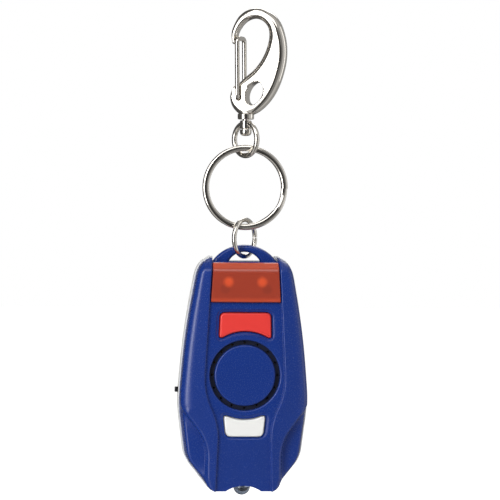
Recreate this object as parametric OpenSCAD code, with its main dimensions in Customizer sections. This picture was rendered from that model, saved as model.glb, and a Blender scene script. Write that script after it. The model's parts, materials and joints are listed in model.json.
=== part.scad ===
// Personal safety alarm with strobe, siren and torch, on a split ring and a swivel snap hook.
// Millimetres, +Z up, hanging pose. The alarm's front faces -Y.
// The origin is on the inside of the hook's arch, straight above the swivel.

/* [Snap hook] */
// Width across the hook plate
hook_w = 17.6; // [15:0.2:22]
// Height from the bearing point down to the swivel collar
hook_drop = 27.2; // [24:0.2:34]
// Rise of the arch above the bearing point
hook_rise = 4.4; // [3.4:0.1:6]
// Thickness of the hook plate
hook_t = 4.2; // [3.2:0.1:5.4]
// Width of the rounded edges of the plate
hook_edge = 2; // [0.6:0.1:2.4]
// Turn of the hook about the swivel, in degrees
hook_turn = -26; // [-90:1:90]
// Width of the oval hole
oval_w = 4.9; // [3:0.1:6]
// Length of the oval hole
oval_l = 7.4; // [4:0.1:8.4]

/* [Wire gate] */
// Diameter of the gate wire
gate_wire_d = 1.4; // [1:0.1:1.8]
// Bend radius of the gate wire, on its centre line
gate_bend_r = 1.2; // [1:0.1:1.6]
// Length of each gate pin inside the hook plate
gate_pin_l = 1.3; // [0.6:0.1:1.6]
// Room between the gate wire and the faces of the plate
gate_room = 0.15; // [0.1:0.05:0.5]

/* [Swivel] */
// Diameter of the collar under the hook
collar_d = 4.9; // [4.2:0.1:7]
// Height of the collar
collar_h = 1.8; // [1:0.1:3]
// Diameter of the rivet's shank
rivet_d = 1.9; // [1.4:0.1:2.4]
// Diameter of the rivet's head
rivet_head_d = 3.5; // [2.8:0.1:4.2]
// Height of the rivet's head
rivet_head_h = 2; // [1:0.1:2.4]
// Length of the rivet's shank above the collar
rivet_grip = 1; // [0.6:0.1:1.4]
// Diameter of the eye's boss
boss_d = 3.5; // [3:0.1:4.6]
// Height of the eye's boss
boss_h = 2.5; // [2:0.1:3.2]
// Diameter of the eye, on the centre line of its wire
eye_d = 9.7; // [8.4:0.1:13]
// Thickness of the eye's wire
eye_wire_d = 1.6; // [1.2:0.1:2]
// Turn of the eye about the swivel, in degrees
eye_turn = -51; // [-90:1:90]
// Running room between the collar and the boss, and at the head
swivel_gap = 0.3; // [0.1:0.05:0.6]
// Running clearance round the rivet's shank, per side
swivel_fit = 0.05; // [0.02:0.01:0.1]
// Clearance of the rivet's shank in the collar, per side
rivet_fit = 0.02; // [0.01:0.01:0.04]

/* [Key rings] */
// Outside diameter of the split ring
ring_d = 25.5; // [20:0.5:34]
// Radial width of the split ring's wire
ring_wire_w = 1.9; // [1.4:0.1:2.6]
// Thickness of one turn of the split ring
ring_wire_t = 1.1; // [0.8:0.1:1.5]
// Gap between the two turns of the split ring
ring_split = 0.42; // [0.42:0.02:0.8]
// Half of the arc in which the wire crosses from turn to turn, in degrees
ring_cross = 14; // [10:1:24]
// Place of that crossing, in degrees from the +X side
ring_seam = -20; // [-60:1:60]
// Diameter of the jump ring, on the centre line of its wire
link_d = 11; // [9.6:0.1:16]
// Wire diameter of the jump ring
link_wire_d = 1.4; // [1:0.1:1.6]
// Turn of the jump ring about the hanging line, in degrees
link_turn = 51; // [30:1:90]
// Cut of the jump ring
link_cut = 0.2; // [0.1:0.05:0.5]
// Room between the eye and the split ring
ring_room = 0.52; // [0.4:0.02:0.8]
// Room between the split ring and the jump ring
link_room = 0.52; // [0.5:0.02:1]
// Room between the jump ring and the bail
bail_room = 0.62; // [0.5:0.02:0.7]

/* [Case outline] */
// Height of the case at the shoulders
case_h = 69.6; // [64:0.2:80]
// Width of the flat foot
foot_w = 19.4; // [18:0.2:22]
// Width at the lower corners
hip_w = 34.6; // [31:0.2:38]
// Height of the lower corners
hip_z = 9.6; // [9:0.2:13]
// Width at the waist, the widest place
waist_w = 38.8; // [36:0.2:46]
// Height of the waist
waist_z = 26.2; // [25:0.2:29]
// Width at the chest, between the waist and the shoulders
chest_w = 35.2; // [34:0.2:40]
// Height of the chest
chest_z = 47.5; // [40:0.5:52]
// Width at the shoulders
shoulder_w = 28; // [26.6:0.2:34]
// Drop of the shoulders below the top
shoulder_drop = 2.3; // [1:0.1:4]
// Width between the shoulder tips
crest_w = 20.6; // [19.8:0.2:24]
// Height of the shoulder tips above the middle of the top
crest_step = 1.1; // [0.5:0.1:2]

/* [Case depth] */
// Depth of the front face, from the parting plane to the channel floor
front_depth = 8; // [7.6:0.1:10]
// Depth of the rear shell
rear_depth = 7.6; // [7:0.1:11]
// Wall thickness
wall = 1.5; // [1:0.1:1.8]
// Depth of the front face at the foot
toe_depth = 6.8; // [6:0.1:8]
// Height at which the front face starts to lean back to the foot
toe_z = 15.6; // [14:0.2:18]
// Depth of the front face at the top
crown_depth = 4.3; // [3.6:0.1:6]
// Height of the sloping top of the front face
crown_h = 3.3; // [2.6:0.1:5]
// Height of the rails above the channel
rail_rise = 1; // [0.5:0.1:1.4]
// Outward slope of the rails, in degrees
rail_slope = 9; // [0:1:14]
// Lean of the front shell's side walls
side_draft = 0.2; // [0.1:0.1:2.2]
// Step of the rear shell's edge past the front shell's
rear_lip = 0.3; // [0:0.05:0.4]
// Radius of the rear shell's back edge
rear_r = 3; // [1.6:0.1:3.4]

/* [Channel and scallops] */
// Width of the channel at the foot
channel_foot_w = 16.4; // [15:0.2:17]
// Width of the channel at its neck
channel_neck_w = 15; // [14.4:0.2:16]
// Height of the neck
channel_neck_z = 20; // [18:0.2:21]
// Width of the channel round the siren
channel_wide_w = 24; // [23:0.2:26]
// Height of that widest place
channel_wide_z = 30; // [29:0.2:32]
// Width of the channel at the top
channel_top_w = 19.6; // [18:0.2:20]
// Width between the two grip scallops
scallop_w = 21.8; // [20.6:0.2:23]
// Height to which the scallops run straight up
scallop_z = 15; // [13:0.2:17]
// Depth of the scallops' floor above the parting plane
scallop_depth = 5.8; // [5:0.1:6.4]

/* [Bail] */
// Height of the bail's top above the middle of the case top
bail_h = 5; // [4:0.1:6]
// Span of the bail at its root
bail_w = 19.4; // [17:0.2:19.6]
// Thickness of the bail's arch
bail_t = 2.2; // [1.6:0.1:2.4]
// Width of the slot under the bail
bail_slot_w = 9.4; // [8:0.2:11]
// Depth of the bail, front to back
bail_depth = 3; // [2.4:0.1:3.4]

/* [Strobe window] */
// Distance from the alarm button's top to the window's foot
lens_clear = 3.2; // [2:0.1:4.4]
// Thickness of the window
lens_t = 1.8; // [1.2:0.1:2.2]
// Gap round the window
lens_gap = 0.15; // [0.05:0.05:0.3]
// Ledge that the window sits on
lens_ledge = 1.2; // [0.8:0.1:1.8]
// Distance between the two strobe lamps
strobe_pitch = 10.4; // [8:0.1:13]
// Diameter of the strobe lamps
strobe_d = 3; // [2:0.1:3.2]

/* [Siren] */
// Height of the siren's centre, as a share of the case's height
siren_share = 0.5; // [0.49:0.005:0.51]
// Diameter of the round opening
siren_d = 21; // [19:0.1:21.6]
// Width of the black groove round the cover
siren_groove = 1.4; // [0.8:0.1:2]
// Thickness of the siren cover
siren_cap_t = 1.2; // [0.8:0.1:1.4]
// Wall of the siren capsule
capsule_wall = 0.9; // [0.7:0.1:1.2]
// Number of sound holes under the groove
sound_holes = 16; // [8:1:24]

/* [Buttons] */
// Radius of the buttons' hollow edges, about the siren's centre
button_arc_r = 13.25; // [12.6:0.05:14]
// Width of the alarm button
alarm_button_w = 15.4; // [13:0.1:16]
// Top of the alarm button above the siren's centre
alarm_button_top = 18.6; // [17:0.1:19.4]
// Lowest points of the alarm button above the siren's centre
alarm_button_low = 11.3; // [10.8:0.1:12.4]
// Width of the torch button at its top
torch_button_w = 12.3; // [11:0.1:12.8]
// Width of the torch button at its foot
torch_button_foot_w = 11; // [10:0.1:11.6]
// Top points of the torch button below the siren's centre
torch_button_top = 12.2; // [11.6:0.1:12.8]
// Foot of the torch button below the siren's centre
torch_button_low = 18.2; // [17:0.1:18.6]
// Height of the buttons above the channel floor
button_rise = 0.6; // [0.6:0.1:1]
// Gap round the buttons
button_gap = 0.25; // [0.15:0.05:0.4]
// Travel of the buttons
button_travel = 0.5; // [0.2:0.1:0.6]
// Width of the sunk margin round a button
button_margin = 1; // [0.6:0.1:1.2]
// Depth of that margin
margin_depth = 0.35; // [0.1:0.05:0.5]
// Width of the flange that holds a button in
button_flange = 0.8; // [0.5:0.1:0.9]

/* [Torch and slide switch] */
// Diameter of the torch lamp
torch_d = 5; // [4:0.1:5.6]
// Length of the torch lamp's straight body
torch_l = 5; // [4:0.1:5.4]
// Height of the arched notch at the foot
notch_h = 1.7; // [1:0.1:2]
// Width of the arched notch at the foot
notch_w = 10.6; // [9:0.2:12]
// Reach of the torch lamp's straight body past the top of the notch
torch_out = 1.1; // [0:0.1:1.4]
// Side of the slide knob
knob_w = 1.5; // [1.2:0.1:1.8]
// Reach of the slide knob past the case
knob_out = 1; // [0.6:0.1:2]
// Travel of the slide knob
knob_travel = 2; // [1:0.1:2.4]
// Height of the slide knob's lower position
knob_z = 29.8; // [29:0.1:31]
// Gap round the slide knob in its slot
knob_gap = 0.25; // [0.15:0.05:0.4]

/* [Board and cells] */
// Thickness of the circuit board
board_t = 1.2; // [0.8:0.1:1.4]
// Distance from the parting plane to the back of the board
board_back = 0.4; // [0.3:0.1:0.6]
// Width of the board
board_w = 18.6; // [17:0.2:19]
// Width of the board beside the siren
board_wing_w = 28; // [25:0.2:28.4]
// Diameter of a cell
cell_d = 11.6; // [9:0.1:11.8]
// Thickness of a cell
cell_t = 5.4; // [3.6:0.1:5.4]
// Distance between cell centres
cell_pitch = 13.4; // [13.3:0.1:14]
// Height of the lowest cell's centre
cell_z = 15.8; // [15.4:0.1:16.4]
// Radius of the contact cups at the board
cup_r = 3.2; // [2.6:0.1:3.6]
// Thickness of the contact plates
plate_t = 0.25; // [0.15:0.05:0.4]

/* [Screws] */
// Diameter of the screw shanks
screw_d = 1.8; // [1.4:0.1:2.2]
// Diameter of the screw heads
screw_head_d = 3.4; // [2.6:0.1:3.6]
// Height of the screw heads
screw_head_h = 1.2; // [0.8:0.1:1.5]
// Reach of the screws into the front shell
screw_reach = 3.4; // [2:0.1:3.6]
// Clearance round the screws, per side
screw_fit = 0.05; // [0.02:0.01:0.1]
// Distance of the upper screws below the top
screw_drop = 12; // [10:0.5:13]
// Distance of the upper screws outside the shoulder tips
screw_out = 2; // [1.6:0.1:2.2]
// Distance of the lower screws outside the scallops' edges
screw_side = 2.4; // [2:0.1:2.6]
// Distance of the lower screws below the scallops' straight part
screw_sink = 0.6; // [0:0.1:1]
// Diameter of the screw pillars
pillar_d = 4.4; // [4.2:0.1:4.8]

/* [Hidden] */
$fn = 48;
eps = 0.01;
blue = [0.15, 0.24, 0.52];
white = [0.93, 0.93, 0.92];
red = [0.89, 0.26, 0.24];
amber = [0.72, 0.27, 0.17];
black = [0.07, 0.07, 0.08];
nickel = [0.74, 0.73, 0.71];
steel = [0.62, 0.62, 0.61];
brass = [0.78, 0.63, 0.32];
copper = [0.72, 0.42, 0.24];
clear = [0.85, 0.88, 0.92];
green = [0.12, 0.36, 0.2];
ceramic = [0.88, 0.86, 0.8];

// Heights along the hanging line, from the hook down to the case.
collar_z = -hook_drop - collar_h;
eye_top = collar_z - swivel_gap;
eye_z = eye_top - (eye_d + eye_wire_d) / 2;
ring_in_r = ring_d / 2 - ring_wire_w;
ring_z = eye_z - (eye_d - eye_wire_d) / 2 + ring_room - ring_in_r;
link_z = ring_z - ring_in_r + link_room + link_wire_d / 2 - link_d / 2;
top_z = case_h - crest_step;
bail_under_z = top_z + bail_h - bail_t;
case_z = link_z - (link_d - link_wire_d) / 2 + bail_room - bail_under_z;
case_y = bail_depth / 2;

// Places inside the case. Depths run forward from the parting plane.
inner_front = front_depth - wall;
inner_rear = rear_depth - wall;
board_front = board_back + board_t;
crown_z = case_h - crown_h;
siren_z = case_h * siren_share;
lens_top = top_z - 0.2;
lens_low = siren_z + alarm_button_top + lens_clear;
strobe_z = (lens_low + lens_top) / 2;
chip_h = 5;
chip_z = strobe_z - strobe_d / 2 - 0.6 - chip_h;
coil_r = 2.3;
coil_z = strobe_z - strobe_d / 2 - 1.1 - coil_r;
button_face = front_depth + button_rise;
flange_front = inner_front - 0.05;
flange_back = flange_front - 0.7;
plunger_front = flange_back - 0.3;
switch_front = plunger_front - button_travel - 0.2;
alarm_z = siren_z + (alarm_button_top + button_arc_r) / 2;
torch_z = siren_z - (torch_button_low + button_arc_r) / 2;
capsule_r = siren_d / 2 + 0.8;
capsule_front = inner_front - 0.2;
capsule_plate = capsule_front - 0.9;
piezo_front = board_front + 2.4;
piezo_t = 0.4;
ceramic_t = 0.2;
cap_r = siren_d / 2 - siren_groove;
cap_back = front_depth + 0.1 - siren_cap_t;
cell_rear = -(inner_rear - plate_t);
cell_front = cell_rear + cell_t;
torch_base = notch_h + torch_l - torch_out;
knob_y = 1.4;
slide_x = -(board_wing_w / 2 - 3.9);
screw_places = [
    for (s = [1, -1]) each [
        [s * (crest_w / 2 + screw_out), case_h - screw_drop],
        [s * (scallop_w / 2 + screw_side), scallop_z - screw_sink]
    ]
];
screw_seat = -(rear_depth - screw_head_h - 0.3);

// Shape helpers: soft corners, tables by height, insets and lofts.
function unit(v) = v / norm(v);
function flat(p) = [p[0], p[1]];
function clamp(v) = min(1, max(0, v));
function ease(v) = v * v * (3 - 2 * v);
function mix(a, b, t) = a * (1 - t) + b * t;
function bend(a, p, b, s, n) =
    let (sa = min(s, 0.48 * norm(a - p)), sb = min(s, 0.48 * norm(b - p)))
    let (q = p + sa * unit(a - p), r = p + sb * unit(b - p))
    [for (k = [0 : n]) let (t = k / n) q * (1 - t) * (1 - t) + p * 2 * t * (1 - t) + r * t * t];
function soft_line(c, n) = let (e = len(c) - 1) [
    flat(c[0]),
    for (i = [1 : e - 1]) each bend(flat(c[i - 1]), flat(c[i]), flat(c[i + 1]), c[i][2], n),
    flat(c[e])
];
function soft_loop(c, s, n) = let (e = len(c)) [
    for (i = [0 : e - 1]) each bend(c[(i + e - 1) % e], c[i], c[(i + 1) % e], s, n)
];
function by_height(line) = [for (p = line) [p[1], p[0]]];
function side(a, b) = let (u = unit(b - a)) [u[1], -u[0]];
function inset(p, d) = let (e = len(p)) [
    for (i = [0 : e - 1])
        let (m = side(p[(i + e - 1) % e], p[i]), n = side(p[i], p[(i + 1) % e]))
        p[i] - d * (m + n) / (1 + m * n)
];
function steps(a, b, n) = [for (i = [0 : n - 1]) a + (b - a) * i / n];
function mirrored(half) = let (e = len(half) - 1) [
    for (i = [0 : e - 1]) [-half[e - i][0], half[e - i][1]],
    each half
];

// A closed skin over rings of equal length, with a flat face at each end.
module loft(rings) {
    n = len(rings[0]);
    m = len(rings);
    sides = [
        for (j = [0 : m - 2], i = [0 : n - 1])
            let (a = j * n + i, b = j * n + (i + 1) % n)
            each [[a, a + n, b + n], [a, b + n, b]]
    ];
    first = [for (i = [0 : n - 1]) i];
    last = [for (i = [0 : n - 1]) m * n - 1 - i];
    polyhedron([for (r = rings) each r], concat(sides, [first, last]), convexity = 8);
}

// Draws a front-view outline as a slab between two depths.
module slab(d0, d1) {
    rotate([90, 0, 0])
        translate([0, 0, d0])
            linear_extrude(height = d1 - d0)
                children();
}

// A round bar along the depth, at a place in the front view.
module rod(x, z, d0, d1, r) {
    translate([x, -d0, z])
        rotate([90, 0, 0])
            cylinder(h = d1 - d0, r = r);
}

module in_case() {
    translate([0, case_y, case_z])
        children();
}

module on_hook() {
    rotate([0, 0, hook_turn])
        children();
}

// Snap hook. Each row is a cut across the plate: outer point, then inner point.
hook_rows = [
    [[-4.3, -6], [-3.15, -6]],
    [[-4.65, -3.6], [-2.6, -3.4]],
    [[-4.05, -1.3], [-1.6, -1.6]],
    [[-2.3, 1.7], [-0.2, -0.12]],
    [[0.5, 3.7], [1.5, 0.75]],
    [[3.6, 4.4], [3.4, 0.95]],
    [[7.4, 3.1], [5.5, 0.1]],
    [[10.6, -0.1], [7.1, -1.9]],
    [[12.4, -4.9], [7.35, -4.8]],
    [[12.85, -9.6], [6.5, -8.2]],
    [[12.2, -14.2], [4.9, -11.4]],
    [[10.4, -19.4], [2.9, -13.9]],
    [[7.6, -23.8], [1.4, -15.2]],
    [[3.8, -27], [0.1, -16.2]],
    [[-0.4, -28], [-0.8, -17]],
    [[-3.6, -25.9], [-1.5, -17.7]],
    [[-4.8, -22.7], [-2.2, -18.4]],
    [[-3.8, -20], [-2.9, -19.1]]
];
hook_row_w = 17.6;
hook_row_drop = 27.2;
hook_row_rise = 4.4;
function hook_fit(p) = [
    p[0] * hook_w / hook_row_w,
    p[1] > 0 ? p[1] * hook_rise / hook_row_rise : p[1] * hook_drop / hook_row_drop
];
function hook_at(i) = hook_rows[max(0, min(len(hook_rows) - 1, i))];
function curve(a, b, c, d, t) =
    (b * 2 + (c - a) * t + (a * 2 - b * 5 + c * 4 - d) * t * t + (b * 3 - a - c * 3 + d) * t * t * t) / 2;
function hook_cut(i, t) = [
    for (k = [0, 1])
        hook_fit(curve(hook_at(i - 1)[k], hook_at(i)[k], hook_at(i + 1)[k], hook_at(i + 2)[k], t))
];
function hook_ring(c, thick) =
    let (mid = (c[0] + c[1]) / 2, a = norm(c[0] - c[1]) / 2, u = unit(c[0] - c[1]))
    let (e = min(hook_edge, 0.85 * a), b = thick / 2)
    [
        for (s = [1, -1], k = [-3 : 3])
            let (p = mid + s * (a - e + e * cos(k * 30)) * u)
            [p[0], -s * b * sin(k * 30), p[1]]
    ];
function hook_taper(i) = hook_t * mix(0.76, 1, ease(clamp(i / 5)));
hook_rings = [
    for (i = [0 : len(hook_rows) - 2], k = [0 : 2])
        hook_ring(hook_cut(i, k / 3), hook_taper(i + k / 3)),
    hook_ring(hook_cut(len(hook_rows) - 2, 1), hook_t)
];
gate_foot = hook_fit([-1.6, -22.6]);
gate_head = hook_fit([-1.9, -4.9]);
gate_l = norm(gate_head - gate_foot);
gate_lean = atan2(gate_head[0] - gate_foot[0], gate_head[1] - gate_foot[1]);
gate_half = hook_t / 2 + gate_room + gate_wire_d / 2;
gate_bore_r = gate_wire_d / 2 + swivel_fit;
oval_at = hook_fit([3.3, -21.3]);

module hook_body() {
    color(nickel)
        on_hook()
            difference() {
                union() {
                    loft(hook_rings);
                    translate([0, 0, collar_z])
                        cylinder(h = collar_h + 0.6, r = collar_d / 2);
                }
                translate([oval_at[0], 0, oval_at[1]])
                    rotate([90, 28, 0])
                        scale([oval_w / oval_l, 1, 1])
                            cylinder(h = hook_t + 2, r = oval_l / 2, center = true);
                translate([gate_foot[0], 0, gate_foot[1]])
                    rotate([90, 0, 0])
                        cylinder(h = hook_t + 2, r = gate_bore_r, center = true);
                for (t = [0, 180])
                    translate([gate_foot[0], 0, gate_foot[1]])
                        rotate([90, 0, t])
                            translate([0, 0, hook_t / 2 - 0.45])
                                cylinder(h = 0.6, r1 = gate_bore_r, r2 = gate_bore_r + 0.4);
                translate([0, 0, collar_z - 1])
                    cylinder(h = collar_h + rivet_grip + 1, r = rivet_d / 2 + rivet_fit);
            }
}

// One side of the gate: leg, bend at the head with half the bar, and bend at the foot with its pin.
module gate_side() {
    r = gate_wire_d / 2;
    translate([0, gate_half, gate_bend_r])
        cylinder(h = gate_l - 2 * gate_bend_r, r = r);
    translate([0, gate_half - gate_bend_r, gate_l - gate_bend_r])
        rotate([90, 0, 90])
            rotate_extrude(angle = 90)
                translate([gate_bend_r, 0])
                    circle(r = r);
    translate([0, gate_half - gate_bend_r, gate_bend_r])
        mirror([0, 0, 1])
            rotate([90, 0, 90])
                rotate_extrude(angle = 90)
                    translate([gate_bend_r, 0])
                        circle(r = r);
    translate([0, 0, gate_l])
        rotate([-90, 0, 0])
            cylinder(h = gate_half - gate_bend_r, r = r);
    translate([0, hook_t / 2 - gate_pin_l, 0])
        rotate([-90, 0, 0])
            cylinder(h = gate_half - gate_bend_r - hook_t / 2 + gate_pin_l, r = r);
}

module gate_wire() {
    color(nickel)
        on_hook()
            translate([gate_foot[0], 0, gate_foot[1]])
                rotate([0, gate_lean, 0]) {
                    gate_side();
                    mirror([0, 1, 0])
                        gate_side();
                }
}

module swivel_rivet() {
    head_z = eye_top - boss_h - swivel_gap / 2;
    color(nickel) {
        translate([0, 0, head_z - 0.5])
            cylinder(h = collar_z + collar_h + rivet_grip - head_z + 0.5, r = rivet_d / 2);
        translate([0, 0, head_z])
            rotate_extrude()
                polygon([
                    [0, 0],
                    [rivet_head_d / 2 - 0.2, 0],
                    [rivet_head_d / 2, -0.2],
                    for (a = [0 : 15 : 75])
                        [rivet_head_d / 2 * cos(a), -0.8 - (rivet_head_h - 0.8) * sin(a)],
                    [0, -rivet_head_h]
                ]);
    }
}

module swivel_eye() {
    color(nickel)
        difference() {
            union() {
                translate([0, 0, eye_z])
                    rotate([0, 0, eye_turn])
                        rotate([90, 0, 0])
                            rotate_extrude()
                                translate([eye_d / 2, 0])
                                    circle(r = eye_wire_d / 2);
                translate([0, 0, eye_top - boss_h])
                    cylinder(h = boss_h, r = boss_d / 2);
            }
            translate([0, 0, eye_top - boss_h - 1])
                cylinder(h = boss_h + 2, r = rivet_d / 2 + swivel_fit);
        }
}

// Split ring: one flat wire through two turns, which swap sides at the seam.
ring_lift = (ring_wire_t + ring_split) / 2;
ring_from = ring_cross + 5;
ring_to = 720 - ring_cross - 5;
ring_count = 74;
ring_mid_r = ring_d / 2 - ring_wire_w / 2;
function ring_side(a) = ring_lift * (2 * ease(clamp((a - 360 + ring_cross) / (2 * ring_cross))) - 1);
ring_section = soft_loop([
    [-ring_wire_w / 2, -ring_wire_t / 2], [ring_wire_w / 2, -ring_wire_t / 2],
    [ring_wire_w / 2, ring_wire_t / 2], [-ring_wire_w / 2, ring_wire_t / 2]
], 0.5, 2);
function ring_cut(a) = [
    for (p = ring_section)
        let (r = ring_mid_r + p[0], t = a + ring_seam)
        [r * cos(t), ring_side(a) + p[1], ring_z + r * sin(t)]
];
ring_stations = [for (k = [0 : ring_count]) ring_from + (ring_to - ring_from) * k / ring_count];
ring_least = min([
    for (a = ring_stations, b = ring_stations)
        if (b - a > 180 && abs(ring_mid_r * sin((b - a) / 2)) < ring_wire_w)
            norm([2 * ring_mid_r * sin((b - a) / 2), ring_side(b) - ring_side(a)]) - ring_wire_t
]);
echo(split_ring_least_gap = ring_least);

module split_ring() {
    color(nickel)
        loft([for (a = ring_stations) ring_cut(a)]);
}

module jump_ring() {
    color(nickel)
        translate([0, 0, link_z])
            rotate([0, 0, link_turn])
                difference() {
                    rotate([90, 0, 0])
                        rotate_extrude()
                            translate([link_d / 2, 0])
                                circle(r = link_wire_d / 2);
                    translate([link_d / 2, 0, 0])
                        cube([link_wire_d + 1, link_wire_d + 1, link_cut], center = true);
                }
}

// Case outline and the profiles that shape the front, all by height above the foot.
outline_half = soft_line([
    [foot_w / 2, 0, 0],
    [hip_w / 2, hip_z, 2.6],
    [waist_w / 2, waist_z, 5],
    [chest_w / 2, chest_z, 10],
    [shoulder_w / 2, case_h - shoulder_drop, 4.2],
    [crest_w / 2, case_h, 0]
], 5);
foot_lead = 1;
wall_table = by_height(soft_line([
    [mix(foot_w, hip_w, -foot_lead / hip_z) / 2, -foot_lead, 0],
    [hip_w / 2, hip_z, 2.6],
    [waist_w / 2, waist_z, 5],
    [chest_w / 2, chest_z, 10],
    [mix(chest_w, shoulder_w, (case_h - chest_z) / (case_h - shoulder_drop - chest_z)) / 2, case_h, 0]
], 5));
channel_table = by_height(soft_line([
    [channel_foot_w / 2, 0, 0],
    [channel_neck_w / 2, channel_neck_z, 5],
    [channel_wide_w / 2, channel_wide_z, 5],
    [channel_top_w / 2, case_h, 0]
], 6));
scallop_table = by_height(soft_line([
    [scallop_w / 2, 0, 0],
    [scallop_w / 2, scallop_z, 5],
    [waist_w / 2 - side_draft / 2, waist_z, 0]
], 6));
depth_table = [[0, toe_depth], [toe_z, front_depth], [crown_z, front_depth], [case_h, crown_depth]];
function half_w(z) = lookup(z, wall_table);
function half_channel(z) = lookup(z, channel_table);
function half_scallop(z) = lookup(z, scallop_table);
function floor_depth(z) = lookup(z, depth_table);

// Corners of the front shell's section at a height, from the middle to the parting line:
// channel floor, rail edge, rail shoulder, scallop foot, scallop edge, parting line.
function front_corners(z) =
    let (w = half_w(z), c = half_channel(z), f = floor_depth(z), t = f + rail_rise)
    let (lean = side_draft * clamp(0.3 + z / 9), s = half_scallop(z), e = min(s, w - lean))
    let (te = t - (e - c) * tan(rail_slope), m = ease(clamp((w - lean - s) / 1.6)))
    let (a = [e + (w - e) * 0.55, te * 0.45], b = [e + (w - e) * 0.8, te * 0.2])
    let (g = min(scallop_depth, te - 0.4))
    let (p = mix(a, [e + 0.7, g], m), q = mix(b, [w - 0.8, g - 0.6], m))
    [
        [0, f, 0],
        [c, f, 0.35],
        [c + 0.4, t, 0.4],
        [e, te, mix(2.6, 0.7, m)],
        [p[0], p[1], mix(1, 0.4, m)],
        [q[0], q[1], mix(1.2, 0.8, m)],
        [w, 0, 0]
    ];
function cavity_corners(z) = let (k = front_corners(z)) [
    [0, k[0][1] - wall, 0],
    [min(k[1][0], k[3][0] - wall - 1), k[0][1] - wall, 0],
    [k[3][0] - wall, min(k[0][1], k[3][1]) - wall, 0.8],
    [k[4][0] - wall, k[4][1] - wall * 0.6, 0.6],
    [k[5][0] - wall, k[5][1] * 0.5, 0.5],
    [k[6][0] - wall, -0.5, 0]
];
function at_height(line, z) = [for (p = line) [p[0], -p[1], z]];
function front_ring(z) = at_height(mirrored(soft_line(front_corners(z), 3)), z);
function cavity_ring(z) = at_height(mirrored(soft_line(cavity_corners(z), 2)), z);
front_heights = concat(
    steps(-foot_lead, hip_z, 8), steps(hip_z, toe_z, 4), steps(toe_z, waist_z + 3, 10),
    steps(waist_z + 3, crown_z, 7), steps(crown_z, case_h, 4), [case_h]
);
foot_wall = notch_h + wall;
cavity_top = top_z - 2.45;
cavity_bend = min(crown_z, cavity_top - 0.7);
cavity_heights = concat(
    steps(foot_wall, toe_z, 6), steps(toe_z, waist_z + 3, 7),
    steps(waist_z + 3, cavity_bend, 4), [cavity_bend, cavity_top]
);

// The arched notch at the foot, cut through both shells.
notch_r = (notch_w * notch_w / 4 + notch_h * notch_h) / (2 * notch_h);
module foot_notch() {
    rod(0, notch_h - notch_r, -20, 20, notch_r);
}

// The hole for the torch lamp, shared by both shells.
module torch_bore() {
    translate([0, 0, -1])
        cylinder(h = foot_wall + 1.5, r = torch_d / 2 + swivel_fit);
}

// Front-view outlines of the two buttons, before their hollow edges are cut.
function alarm_outline() = soft_loop([
    [-alarm_button_w / 2, siren_z + alarm_button_low],
    [alarm_button_w / 2, siren_z + alarm_button_low],
    [alarm_button_w / 2 - 0.2, siren_z + alarm_button_top],
    [-alarm_button_w / 2 + 0.2, siren_z + alarm_button_top]
], 1.5, 4);
function torch_outline() = soft_loop([
    [-torch_button_foot_w / 2, siren_z - torch_button_low],
    [torch_button_foot_w / 2, siren_z - torch_button_low],
    [torch_button_w / 2, siren_z - torch_button_top],
    [-torch_button_w / 2, siren_z - torch_button_top]
], 1.4, 4);

// A button's outline grown by a margin, between two depths, with its hollow edge.
module button_slab(line, margin, d0, d1) {
    difference() {
        slab(d0, d1)
            polygon(inset(line, -margin));
        rod(0, siren_z, d0 - 1, d1 + 1, button_arc_r - margin);
    }
}

// Front-view outline of the window up to a height, grown by a margin.
module lens_outline(margin, top) {
    low = half_channel(lens_low) - lens_gap + margin;
    high = half_channel(lens_top) - lens_gap + margin;
    polygon([
        [-low, lens_low - margin], [low, lens_low - margin],
        [high, lens_top], [high, top], [-high, top], [-high, lens_top]
    ]);
}

// Front-view outline of the opening behind the window.
module window_outline() {
    low = half_channel(lens_low) - lens_ledge;
    high = half_channel(lens_top) - lens_ledge;
    polygon([
        [-low, lens_low + lens_ledge], [low, lens_low + lens_ledge],
        [high, cavity_top - 0.6], [-high, cavity_top - 0.6]
    ]);
}

// Side-view band between two depths under the rails' edge, drawn across the case.
module crown_band(under0, under1, z0, z1) {
    face = front_depth + rail_rise;
    tip = mix(face, crown_depth + rail_rise, (z1 - crown_z) / crown_h);
    rotate([90, 0, 90])
        translate([0, 0, -20])
            linear_extrude(height = 40)
                polygon([
                    [-face + under0, z0], [-face + under0, crown_z], [-tip + under0, z1],
                    [-tip + under1, z1], [-face + under1, crown_z], [-face + under1, z0]
                ]);
}

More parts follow.
